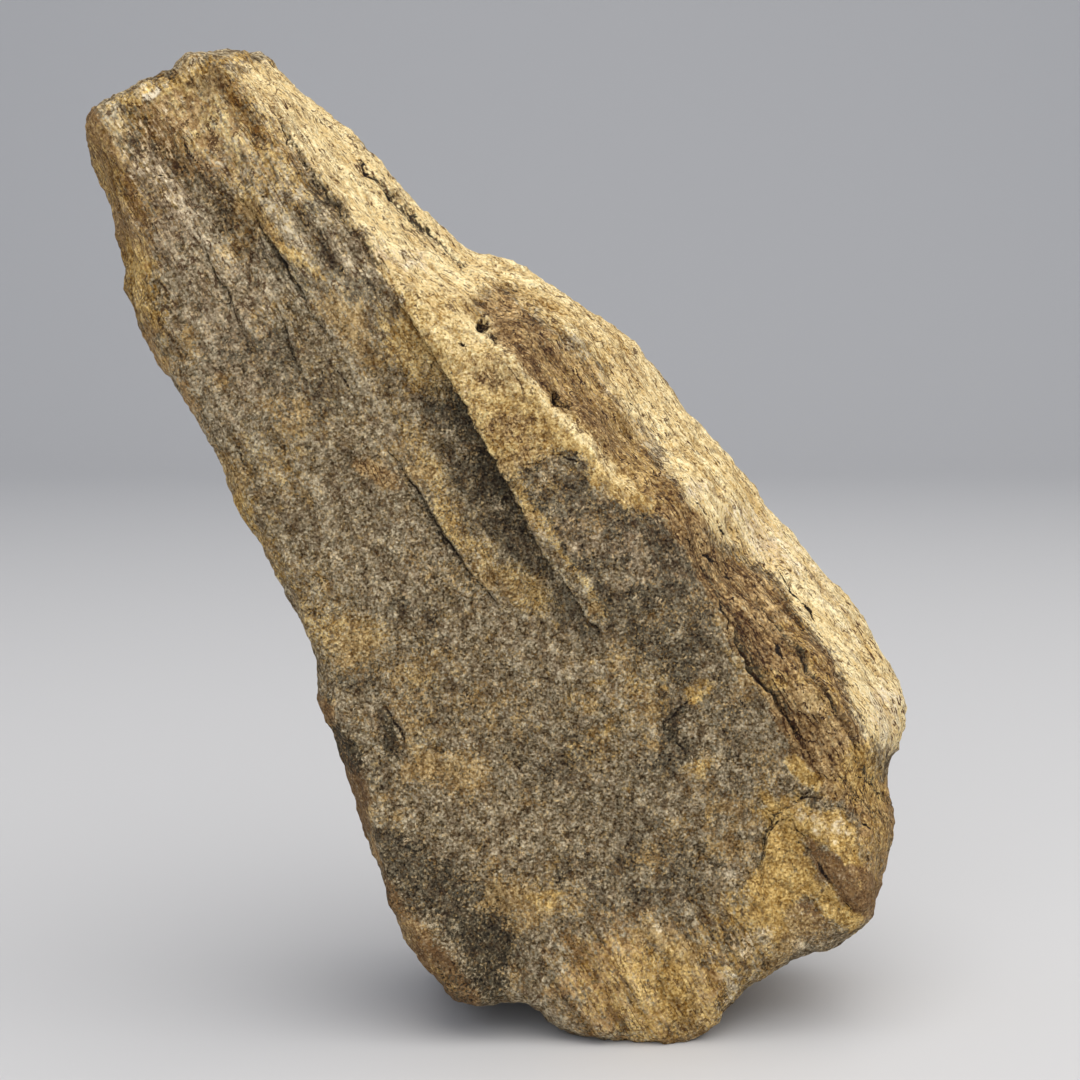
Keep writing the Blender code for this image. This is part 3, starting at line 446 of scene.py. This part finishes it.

# ---- Colours, as a screen shows them ----

# The darkest and the lightest grain of the plain stone, and of each kind, in the order that they cover it.
FACE_GRAINS = ((31, 19, 3), (212, 197, 166))
GRAINS = {
    "dark": ((14, 7, 0), (156, 144, 118)),
    "grey": ((65, 50, 33), (217, 198, 165)),
    "tan": ((100, 66, 22), (250, 224, 158)),
    "pale": ((196, 164, 106), (255, 240, 192)),
    "brown": ((36, 15, 0), (220, 188, 132)),
    "earth": ((98, 69, 37), (206, 174, 124)),
    "umber": ((72, 46, 22), (152, 124, 88)),
    "rust": ((72, 49, 20), (226, 198, 144)),
    "ochre": ((102, 70, 24), (250, 216, 142)),
    "white": ((196, 170, 130), (255, 246, 220)),
    # dark stone, and the shade painted below the ledges, in the trough, in the nook and beside a flake
    "shade": ((8, 4, 0), (104, 94, 72)),
}
WARM_GRAIN, COOL_GRAIN = (196, 150, 76), (92, 98, 90)
FLECK_COLOUR = (70, 45, 27)
CRACK_COLOUR = (26, 17, 9)
VEIN_COLOUR = (50, 31, 17)
SCREEN_GAMMA = 2.2

# Feature sizes of the material's textures, in millimetres.
GRAIN_SIZE, GRIT_SIZE, FIBRE_SIZE, CLUSTER_SIZE = 0.27, 0.32, 0.38, 1.5
FIBRE_STRETCH = 4.0
VEIN_STEP = 0.13  # half of what the vein's wave rises from one vein to the next
BUMP = 0.12


# ---- Measuring ----


def smooth(t):
    """0 below t = -1, 1 above t = 1, and a smooth rise between them."""
    t = np.clip(0.5 + 0.5 * t, 0.0, 1.0)
    return t * t * (3.0 - 2.0 * t)


def pairs(numbers):
    return np.array(numbers, float).reshape(-1, 2)


def nearest_on(line, at):
    """Each point's distance to the line, how far along it the nearest place is, and 1 or -1 for its side."""
    start, run = line[:-1], np.diff(line, axis=0)
    from_start = at[:, None, :] - start[None, :, :]
    share = np.clip((from_start * run).sum(2) / (run * run).sum(1), 0.0, 1.0)
    gap = from_start - share[:, :, None] * run
    distance = np.hypot(gap[:, :, 0], gap[:, :, 1])
    segment, row = distance.argmin(1), np.arange(len(at))
    near = from_start[row, segment]
    cross = run[segment, 0] * near[:, 1] - run[segment, 1] * near[:, 0]
    length = np.hypot(run[:, 0], run[:, 1])
    along = (np.cumsum(length) - length)[segment] + share[row, segment] * length[segment]
    return distance[row, segment], along / length.sum(), np.where(cross > 0, 1.0, -1.0)


def around(line, at, reach):
    """Which points lie in the line's box, made bigger by reach."""
    return np.flatnonzero(((at > line.min(0) - reach) & (at < line.max(0) + reach)).all(1))


def beside(line, at, reach):
    """The points near the line: their rows, how far beside it they lie, and 1 by its middle to 0 at its ends.

    In (x, z), a point to the right of a line that runs down lies over 0 beside it.
    """
    line = pairs(line)
    rows = around(line, at, reach)
    distance, share, side = nearest_on(line, at[rows])
    return rows, distance * side, np.sqrt(np.clip(np.sin(np.pi * share), 0.0, 1.0))


def within(outline, at, reach):
    """The points near a closed outline: their rows, and how deep inside it they lie, less than 0 outside."""
    line = pairs(outline + outline[:2])
    rows = around(line, at, reach)
    x, y = at[rows].T
    inside = np.zeros(len(rows), bool)
    for (x0, y0), (x1, y1) in zip(line[:-1], line[1:]):
        if y0 != y1:
            inside ^= ((y0 > y) != (y1 > y)) & (x < (x1 - x0) * (y - y0) / (y1 - y0) + x0)
    distance, _, _ = nearest_on(line, at[rows])
    return rows, np.where(inside, distance, -distance)


def waves(points, size, seed):
    return np.array([noise.noise(Vector(point)) for point in points / size + seed])


def blotches(points, blotch):
    return np.clip(blotch.level + blotch.swing * waves(points, blotch.size, blotch.seed), 0.0, blotch.most)


def wandering(flat, points, wander):
    """The flat places of the points, pushed about by waves, which makes what is drawn on them wander."""
    pushed = flat.copy()
    for size, reach in wander.waves:
        for axis in (0, 1):
            pushed[:, axis] += reach * waves(points, size, wander.seed + AXIS_SEED_STEP * axis)
    return pushed


def along_grain(points, stretch):
    """The points with the grain's direction squeezed, so that a wave over them comes out longer along it."""
    return points - np.outer(points @ GRAIN * (1.0 - 1.0 / stretch), GRAIN)


def seen(points):
    """Where the camera sees each point, in pixels, and the direction it is seen in."""
    ray = points - CAMERA
    ahead = ray[:, 1] * math.cos(PITCH) - ray[:, 2] * math.sin(PITCH)
    up = ray[:, 1] * math.sin(PITCH) + ray[:, 2] * math.cos(PITCH)
    at = np.stack([FRAME_PX / 2 + FOCAL_PX * ray[:, 0] / ahead, FRAME_PX / 2 - FOCAL_PX * up / ahead], 1)
    return at, ray / np.linalg.norm(ray, axis=1)[:, None]


# ---- Meshes ----


def new_object(name, data):
    made = bpy.data.objects.new(name, data)
    bpy.context.scene.collection.objects.link(made)
    return made


def through_modifier(mesh, kind, **settings):
    """The mesh as one modifier leaves it."""
    holder = new_object("holder", mesh)
    modifier = holder.modifiers.new(kind.title(), kind)
    for name, value in settings.items():
        setattr(modifier, name, value)
    graph = bpy.context.evaluated_depsgraph_get()
    made = bpy.data.meshes.new_from_object(holder.evaluated_get(graph))
    bpy.data.objects.remove(holder)
    return made


def read(mesh, name):
    values = np.empty(len(mesh.vertices) * 3, np.float32)
    mesh.vertices.foreach_get(name, values)
    return values.reshape(-1, 3).astype(float)


def move(mesh, points):
    mesh.vertices.foreach_set("co", points.astype(np.float32).ravel())
    mesh.update()


def give(mesh, name, values):
    mesh.attributes.new(name, "FLOAT", "POINT").data.foreach_set("value", values.astype(np.float32))


def blurred(mesh, values, rounds):
    """The values evened out along the mesh's edges."""
    ends = np.empty(len(mesh.edges) * 2, np.int32)
    mesh.edges.foreach_get("vertices", ends)
    one, other = ends.reshape(-1, 2).T
    one, other = np.concatenate([one, other]), np.concatenate([other, one])
    count = np.bincount(one, minlength=len(values))[:, None]
    for _ in range(rounds):
        total = np.stack([np.bincount(one, v[other], minlength=len(values)) for v in values.T], 1)
        values = 0.5 * values + 0.5 * total / count
    return values


def fine_mesh(node):
    """The solid's mesh in the drawing's millimetres, without its facets, and finer where it shows.

    It is halved where the camera looks and by the ledges of the back, and again by the lines of the front.
    """
    mesh = node.data.copy()
    move(mesh, read(mesh, "co") / MM + DRAWING)
    mesh = through_modifier(mesh, "REMESH", mode="VOXEL", voxel_size=COARSE)
    mesh = through_modifier(mesh, "SMOOTH", factor=0.5, iterations=SMOOTHING)
    _, direction = seen(read(mesh, "co"))
    facing = -(direction * read(mesh, "normal")).sum(1)
    shape = bmesh.new()
    shape.from_mesh(mesh)
    halved(shape, (facing > FINE_FACING) | near_lines(read(mesh, "co")[:, [0, 2]], BACK_LEDGES, LINE_REACH))
    places = np.array([v.co for v in shape.verts])
    facing = np.array([-v.normal.dot(v.co - Vector(CAMERA)) for v in shape.verts])
    halved(shape, near_a_line(places, seen(places)[0]) & (facing > 0.0))
    bmesh.ops.triangulate(shape, faces=[f for f in shape.faces if len(f.verts) > 4])
    shape.to_mesh(mesh)
    shape.free()
    return through_modifier(mesh, "SMOOTH", factor=0.5, iterations=LAST_SMOOTHING)


def halved(shape, finer):
    """Halves the edges of every face with a vertex where finer holds."""
    edges = {e: None for f in shape.faces if any(finer[v.index] for v in f.verts) for e in f.edges}
    bmesh.ops.subdivide_edges(shape, edges=list(edges), cuts=1, use_grid_fill=True)
    shape.verts.index_update()
    shape.verts.ensure_lookup_table()
    shape.normal_update()


def near_lines(at, lines, reach):
    """Which points lie by one of the lines."""
    near = np.zeros(len(at), bool)
    for line in lines:
        rows, offset, _ = beside(line.line, at, reach)
        near[rows] |= np.abs(offset) < reach
    return near


def near_a_line(points, at):
    """Which points lie by a ledge, a crack or a pit of the front."""
    flat = points[:, [0, 2]]
    pixels = LINE_REACH * FOCAL_PX / -CAMERA[1]
    near = near_lines(flat, LEDGES, LINE_REACH) | near_lines(at, CRACKS, pixels)
    for pit in PITS:
        near |= np.hypot(*(flat - (pit.x, pit.z)).T) < PIT_REACH
    return near


# ---- Weathering, painted light and shade, and relief ----


def step_and_fade(distance, reach):
    """0 on the near side of a line, then a crisp step up to 1, and a fade over the reach."""
    return smooth(distance / LEDGE_CRISP) * np.exp(-np.maximum(distance, 0.0) / reach)


def by_ledges(ledges, flat):
    """How strong the dark stone and the painted shade below the ledges are at each point, and the tan of
    their upper edges, which is wear and a painted highlight.
    """
    bare = np.ones((2, len(flat)))
    for ledge in ledges:
        rows, offset, middle = beside(ledge.line, flat, SHADE_REACH)
        below = -offset * math.copysign(1.0, ledge.rise)
        bare[0, rows] *= 1.0 - middle**3 * step_and_fade(below, ledge.shade)
        bare[1, rows] *= 1.0 - ledge.worn * middle * step_and_fade(-below, LEDGE_WORN_AND_LIT)
    return 1.0 - bare


def left_bare(points, at, flat):
    """How much of each point each kind leaves bare, once the front's patches, spots and ledges are drawn."""
    wander = wandering(at, points, PATCH_WANDER)
    bare = {kind: np.ones(len(points)) for kind in (*GRAINS, "fleck", "streak")}
    for kind, strength, soft, outline in PATCHES:
        edge = PATCH_SOFT * soft
        swayed = at + (wander - at) * min(1.0, soft / SOFT_ENOUGH)
        rows, depth = within(outline, swayed, edge)
        bare[kind][rows] *= 1.0 - strength * smooth(depth / edge)
    for kind, spots in SPOTS.items():
        for amount, u, v, across, high in spots:
            reach = np.hypot((wander[:, 0] - u) / across, (wander[:, 1] - v) / high)
            bare[kind] *= 1.0 - amount * smooth(SPOT_SOFT * (1.0 - reach))
    # The front's ledges: painted shade and dark stone below them, wear and a painted highlight on their upper
    # edges.
    below, worn = by_ledges(LEDGES, flat)
    bare["shade"] *= 1.0 - below
    bare["tan"] *= 1.0 - worn
    return bare


def weathering_and_painted_light(points, at, flat, shown):
    """The strength of each kind at each point, painted shade and highlight among them. shown: 1 where the
    camera sees it, and 0 on the far side.
    """
    strength = {kind: shown * (1.0 - bare) for kind, bare in left_bare(points, at, flat).items()}
    for kind, blotch in BROKEN_UP.items():
        strength[kind] *= blotches(points, blotch)

    hidden = 1.0 - shown
    drawn_out = along_grain(points, FAR_STRETCH)
    for kind, blotch in FAR_SIDE.items():
        strength[kind] += hidden * blotches(drawn_out, blotch)
    # The back's ledges get the same painted shade below them and painted highlight above.
    below, worn = by_ledges(BACK_LEDGES, flat)
    strength["shade"] += hidden * below
    strength["tan"] += hidden * worn
    strength["streak"] += hidden * FAR_STREAK
    strength["fleck"] += hidden * blotches(points, FAR_FLECKS)

    dark, pale = strength["dark"].clip(0.0, 1.0), strength["pale"].clip(0.0, 1.0)
    stained = (1.0 - OFF_DARK * dark) * (1.0 - OFF_PALE * pale)
    strength["rust"] += stained * blotches(points, RUST_STAIN)
    strength["ochre"] += shown * stained * blotches(points, OCHRE_STAIN)
    strength["dark"] += blotches(points, DARK_STAIN)
    return {kind: np.clip(value, 0.0, 1.0) for kind, value in strength.items()}


def carved(points, at, flat, shown):
    """How far the ledges, cracks and pits raise or sink the stone, and how near a crack each point is.

    A crack is 0 along its middle, 1 at the edge of its dark line, and more outside it.
    """
    proud = np.zeros(len(points))
    gap = np.full(len(points), FAR_GAP)
    uneven = np.maximum(blotches(points, UNEVEN), UNEVEN_LEAST)

    def score(rows, offset, width, depth, there):
        """Cuts a groove and marks it. The groove tapers where width falls to nothing."""
        share = np.abs(offset) / np.maximum(width * uneven[rows], 1e-3)
        proud[rows] -= there[rows] * depth * np.exp(-(share**2))
        gap[rows] = np.minimum(gap[rows], share + FAR_GAP * (1.0 - there[rows]))

    for ledges, there, soft in ((LEDGES, shown, LEDGE_SOFT), (BACK_LEDGES, 1.0 - shown, BACK_LEDGE_SOFT)):
        for ledge in ledges:
            rows, offset, middle = beside(ledge.line, flat, LEDGE_REACH)
            distance, _, side = nearest_on(pairs(ledge.solid or ledge.line), flat[rows])
            crisper = smooth(offset / LEDGE_CRISP) - smooth(distance * side / soft)
            proud[rows] += there[rows] * ledge.rise * middle * crisper
            foot = offset - FOOT * math.copysign(1.0, ledge.rise)
            score(rows, foot, FOOT_WIDTH * ledge.crack * middle, FOOT_DEPTH * ledge.crack, there)
    at = wandering(at, points, CRACK_WANDER)
    for crack in CRACKS:
        rows, offset, middle = beside(crack.line, at, CRACK_REACH)
        score(rows, offset, crack.width * middle, crack.depth, shown)
    ragged = wandering(flat, points, PIT_WANDER)
    for pit in PITS:
        away = ragged - (pit.x, pit.z)
        run = away @ GRAIN[[0, 2]] / pit.long
        side = (away[:, 0] * GRAIN[2] - away[:, 1] * GRAIN[0]) / pit.across
        reach = np.hypot(run, side)
        proud -= pit.depth * shown * smooth(2.0 - 2.0 * reach)
        gap = np.minimum(gap, PIT_DARK * reach + FAR_GAP * (1.0 - shown))
    return proud, gap


def broken(points, splitting):
    """How far the waves of the broken surface raise the stone, and how near a riser of the splitting is."""
    proud, riser = np.zeros(len(points)), np.zeros(len(points))
    for number, wave in enumerate(SPLIT + GRIT):
        height = waves(along_grain(points, wave.stretch), wave.size, WAVE_SEED_STEP * number)
        if wave.flats:
            level = np.floor(height * wave.flats)
            part = height * wave.flats - level - 0.5
            height = (level + smooth(part / RISER)) / wave.flats
            riser = np.maximum(riser, 1.0 - 2.0 * np.abs(part))
        share = SPLIT_FLOOR + (1.0 - SPLIT_FLOOR) * splitting if number < len(SPLIT) else 1.0
        proud += wave.height * share * height
    return proud, riser


def make_stone(node):
    mesh = fine_mesh(node)
    points, normals = read(mesh, "co"), read(mesh, "normal")
    at, direction = seen(points)
    shown = smooth(SEEN_TO - (direction * normals).sum(1) / SEEN_SOFT)
    flat = wandering(points[:, [0, 2]], points, LEDGE_WANDER)
    strength = weathering_and_painted_light(points, at, flat, shown)
    proud, gap = carved(points, at, flat, shown)
    rough, riser = broken(points, strength["streak"] * (1.0 - CREAM_SMOOTHER * strength["pale"]))

    standing = points[:, 2] > GROUND_CLEAR
    points += normals * ((proud + rough) * standing)[:, None]
    points[:, 2] = np.where(standing, np.maximum(points[:, 2], 0.0), 0.0)
    move(mesh, points)
    # How far each point lies in a hollow or on a crest, for the shade painted in hollows and the highlight
    # painted on crests.
    hollow_shade = ((blurred(mesh, points, HOLLOW_ROUNDS) - points) * read(mesh, "normal")).sum(1)

    flecks = waves(along_grain(points, FLECK_STRETCH), FLECK_SIZE, FLECK_SEED)
    strength["fleck"] = flecks + strength["fleck"] - 1.0
    for kind, values in strength.items():
        give(mesh, kind, values)
    give(mesh, "gap", gap)
    give(mesh, "riser", riser)
    give(mesh, "vein", waves(along_grain(points, VEIN_STRETCH), VEIN_SIZE, VEIN_SEED))
    give(mesh, "hollow_shade", np.clip(0.5 + hollow_shade / HOLLOW_SHADE_DEPTH, 0.0, 1.0))
    move(mesh, (points - DRAWING) * MM)
    mesh.name = "meteorite_stone"
    mesh.materials.clear()
    mesh.materials.append(stone_material())
    mesh.shade_smooth()
    return new_object("meteorite_stone", mesh)


# ---- Material ----


def colour(shown):
    """A colour as a screen shows it, 0 to 255, as the renderer's own."""
    share = np.array(shown) / 255.0
    linear = np.where(share <= 0.04045, share / 12.92, ((share + 0.055) / 1.055) ** 2.4)
    return (*map(float, linear), 1.0)


def as_shown(shown):
    """A colour as a screen shows it, 0 to 255, as a node's socket takes it, still as the screen's."""
    return (*(share / 255.0 for share in shown), 1.0)


FLOAT_A, FLOAT_B, COLOUR_A, COLOUR_B, COLOUR_RESULT = 2, 3, 6, 7, 2  # a Mix node's sockets


class Nodes:
    """The nodes of one material. Each call adds what it names, and gives its output."""

    def __init__(self, tree):
        self.tree = tree

    def add(self, kind, inputs, out=0, **settings):
        made = self.tree.nodes.new("ShaderNode" + kind)
        for name, value in settings.items():
            setattr(made, name, value)
        for name, value in inputs.items():
            if isinstance(value, bpy.types.NodeSocket):
                self.tree.links.new(value, made.inputs[name])
            else:
                made.inputs[name].default_value = value
        return made.outputs[out]

    def maths(self, operation, a, b):
        return self.add("Math", {0: a, 1: b}, operation=operation)

    def blend(self, share, a, b):
        return self.add("Mix", {0: share, COLOUR_A: a, COLOUR_B: b}, COLOUR_RESULT, data_type="RGBA")

    def between(self, share, a, b):
        return self.add("Mix", {0: share, FLOAT_A: a, FLOAT_B: b}, data_type="FLOAT")

    def stretch(self, low, high, value):
        inputs = {"Value": value, "From Min": low, "From Max": high}
        return self.add("MapRange", inputs, interpolation_type="SMOOTHSTEP")

    def strength(self, name):
        return self.add("Attribute", {}, "Fac", attribute_name=name)

    def summed(self, start, *terms):
        total = start
        for value, weight in terms:
            total = self.maths("ADD", self.maths("MULTIPLY", value, weight), total)
        return total

    def parts(self, colour_socket):
        return self.add("SeparateColor", {"Color": colour_socket}).node.outputs

    def cloud(self, vector, size, detail):
        inputs = {"Vector": vector, "Scale": 1.0 / (size * MM), "Detail": detail, "Roughness": 0.6}
        return self.parts(self.add("TexNoise", inputs, "Color"))


# The stone's textures, three numbers each, and how streaked the stone is.
Textures = namedtuple("Textures", "grains grit fibres clusters streak")


def textures(nodes):
    place = nodes.add("TexCoord", {}, "Object")
    turned = {"Vector": place, "Rotation": (0.0, GRAIN_TILT, 0.0), "Scale": (FIBRE_STRETCH, 1.0, 1.0)}
    long = nodes.add("Mapping", turned, vector_type="TEXTURE")
    cells = nodes.add("TexVoronoi", {"Vector": place, "Scale": 1.0 / (GRAIN_SIZE * MM)}, "Color")
    return Textures(
        grains=nodes.parts(cells),
        grit=nodes.cloud(place, GRIT_SIZE, 1.0),
        fibres=nodes.cloud(long, FIBRE_SIZE, 1.0),
        clusters=nodes.cloud(place, CLUSTER_SIZE, 2.0),
        streak=nodes.strength("streak"),
    )


def grain_colours(nodes, made):
    """Light and dark grains, in the colours of each kind, which takes over grain by grain, with painted shade
    in hollows and a painted highlight on crests.
    """
    grains, grit, fibres, clusters, streak = made
    even = nodes.summed(-0.50, (grains[0], 0.42), (grit[0], 1.0), (clusters[0], 0.58))
    vein = nodes.strength("vein")
    streaked = nodes.summed(-0.43, (grains[0], 0.36), (grit[0], 0.5), (fibres[0], 1.0), (vein, 0.45))
    # Painted shade in the hollows and a painted highlight on the crests.
    crest_light_hollow_shade = nodes.maths("SUBTRACT", 0.5, nodes.strength("hollow_shade"))
    tone = nodes.summed(nodes.between(streak, even, streaked), (crest_light_hollow_shade, 0.20))

    lumpy = (clusters[1], clusters[2], grit[1], grit[2])
    stringy = (fibres[1], fibres[2], fibres[1], fibres[2])
    chances = [nodes.between(streak, a, b) for a, b in zip(lumpy, stringy)]
    darkest, lightest = map(as_shown, FACE_GRAINS)
    for number, (kind, (dark, light)) in enumerate(GRAINS.items()):
        part = 1 + number % 2
        fine = (grains[part], 0.35), (grit[part], 0.35)
        share = nodes.summed(-1.15, (nodes.strength(kind), 1.0), (chances[number % 4], 1.6), *fine)
        share = nodes.stretch(0.22, 0.78, share)
        darkest = nodes.blend(share, darkest, as_shown(dark))
        lightest = nodes.blend(share, lightest, as_shown(light))
    surface = nodes.blend(tone, darkest, lightest)
    warm = nodes.maths("MULTIPLY", nodes.stretch(0.75, 0.95, grains[2]), 0.16)
    surface = nodes.blend(warm, surface, as_shown(WARM_GRAIN))
    cool = nodes.maths("MULTIPLY", nodes.stretch(0.25, 0.05, grains[2]), 0.20)
    return nodes.blend(cool, surface, as_shown(COOL_GRAIN))


def dark_lines(nodes, made, surface):
    """Dark flecks, dark veins along the grain and the splitting's risers, and a dark line in each crack."""
    _, grit, fibres, clusters, streak = made
    fleck = nodes.stretch(0.16, 0.28, nodes.summed(-1.1, (nodes.strength("fleck"), 0.8), (fibres[2], 2.2)))
    surface = nodes.blend(nodes.maths("MULTIPLY", fleck, 0.85), surface, as_shown(FLECK_COLOUR))
    wave = nodes.summed(-0.1, (nodes.strength("vein"), 1.0), (grit[1], 0.2))
    thin = nodes.maths("SUBTRACT", 1.0, nodes.stretch(0.010, 0.045, nodes.maths("PINGPONG", wave, VEIN_STEP)))
    vein = nodes.maths("MULTIPLY", nodes.stretch(0.49, 0.57, clusters[1]), thin)
    clear = nodes.summed(0.22, (streak, 0.45), (nodes.strength("brown"), 0.65))
    surface = nodes.blend(nodes.maths("MULTIPLY", vein, clear), surface, as_shown(VEIN_COLOUR))
    edge = nodes.stretch(0.80, 1.0, nodes.summed(-0.35, (nodes.strength("riser"), 1.0), (grit[2], 0.7)))
    surface = nodes.blend(nodes.maths("MULTIPLY", edge, 0.28), surface, as_shown(VEIN_COLOUR))
    away = nodes.stretch(0.35, 1.1, nodes.summed(-0.9, (nodes.strength("gap"), 1.0), (grit[2], 1.8)))
    return nodes.blend(nodes.maths("SUBTRACT", 1.0, away), surface, as_shown(CRACK_COLOUR))


def new_material(name):
    """A material of nodes, and its shader."""
    material = bpy.data.materials.new(name)
    material.use_nodes = True
    return material, material.node_tree.nodes["Principled BSDF"]


def stone_material():
    """Grains of colour, mixed as a screen shows them. SCREEN_GAMMA then makes them the renderer's."""
    material, shader = new_material("meteorite_stone")
    tree = material.node_tree
    nodes = Nodes(tree)
    made = textures(nodes)
    surface = dark_lines(nodes, made, grain_colours(nodes, made))
    shown = nodes.add("Gamma", {"Color": surface, "Gamma": SCREEN_GAMMA})
    tree.links.new(shown, shader.inputs["Base Color"])

    rough = nodes.add("MapRange", {"Value": made.grains[0], "To Min": 0.95, "To Max": 0.75})
    tree.links.new(rough, shader.inputs["Roughness"])
    shader.inputs["Specular IOR Level"].default_value = 0.25
    height = nodes.summed(0.0, (made.grit[0], 1.0), (made.grains[0], 0.35))
    bump = nodes.add("Bump", {"Height": height, "Strength": 1.0, "Distance": BUMP * MM}, "Normal")
    tree.links.new(bump, shader.inputs["Normal"])
    return material


# ---- The room, in metres ----

FLOOR_COLOUR = (202, 203, 205)
LAMPS_LOOK_AT = Vector((0.0, 0.0, 0.06))
# Each lamp: its name, place, width, watts and colour.
LAMPS = [
    ("key", (0.26, -0.22, 0.85), 1.30, 11.5, (255, 249, 240)),
    ("front", (-0.20, -0.80, 0.40), 0.6, 2.4, (250, 251, 255)),
]
SKY_COLOUR, SKY_STRENGTH = (0.86, 0.90, 1.0, 1.0), 0.43


def make_floor():
    """A pale floor that sweeps up behind."""
    half, front, back, bend, top = 3.0, -2.0, 0.9, 0.6, 2.5
    turn = [math.radians(a) for a in range(0, 91, 6)]
    profile = [(front, 0.0)]
    profile += [(back + bend * math.sin(a), bend - bend * math.cos(a)) for a in turn]
    profile += [(back + bend, top)]
    shape = bmesh.new()
    rows = [[shape.verts.new((x, y, z)) for x in (-half, half)] for y, z in profile]
    for (a, b), (c, d) in zip(rows[:-1], rows[1:]):
        shape.faces.new((a, b, d, c))
    mesh = bpy.data.meshes.new("floor")
    shape.to_mesh(mesh)
    shape.free()
    mesh.shade_smooth()
    material, shader = new_material("floor")
    shader.inputs["Base Color"].default_value = colour(FLOOR_COLOUR)
    shader.inputs["Roughness"].default_value = 0.6
    mesh.materials.append(material)
    floor = new_object("floor", mesh)


def make_lamp(name, at, size, watts, shown):
    """A soft square lamp that looks at the middle of the stone."""
    light = bpy.data.lights.new(name, "AREA")
    light.shape = "SQUARE"
    light.size = size
    light.energy = watts
    light.color = colour(shown)[:3]
    lamp = new_object(name, light)
    lamp.location = at
    lamp.rotation_euler = (LAMPS_LOOK_AT - Vector(at)).to_track_quat("-Z", "Y").to_euler()


def make_room():
    make_floor()
    for lamp in LAMPS:
        make_lamp(*lamp)
    world = bpy.data.worlds.new("studio")
    world.use_nodes = True
    sky = world.node_tree.nodes["Background"]
    sky.inputs["Color"].default_value = SKY_COLOUR
    sky.inputs["Strength"].default_value = SKY_STRENGTH
    bpy.context.scene.world = world
    bpy.context.scene.view_settings.view_transform = "Standard"


def make_camera():
    data = bpy.data.cameras.new("camera")
    data.sensor_width = SENSOR
    data.lens = LENS
    data.clip_start = 0.01
    camera = new_object("camera", data)
    camera.location = Vector((CAMERA - DRAWING) * MM)
    camera.rotation_euler = (math.pi / 2 - PITCH, 0.0, 0.0)
    bpy.context.scene.camera = camera


stone = make_stone(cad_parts["meteorite"])
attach(stone, "root")
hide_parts("meteorite")
make_room()
make_camera()
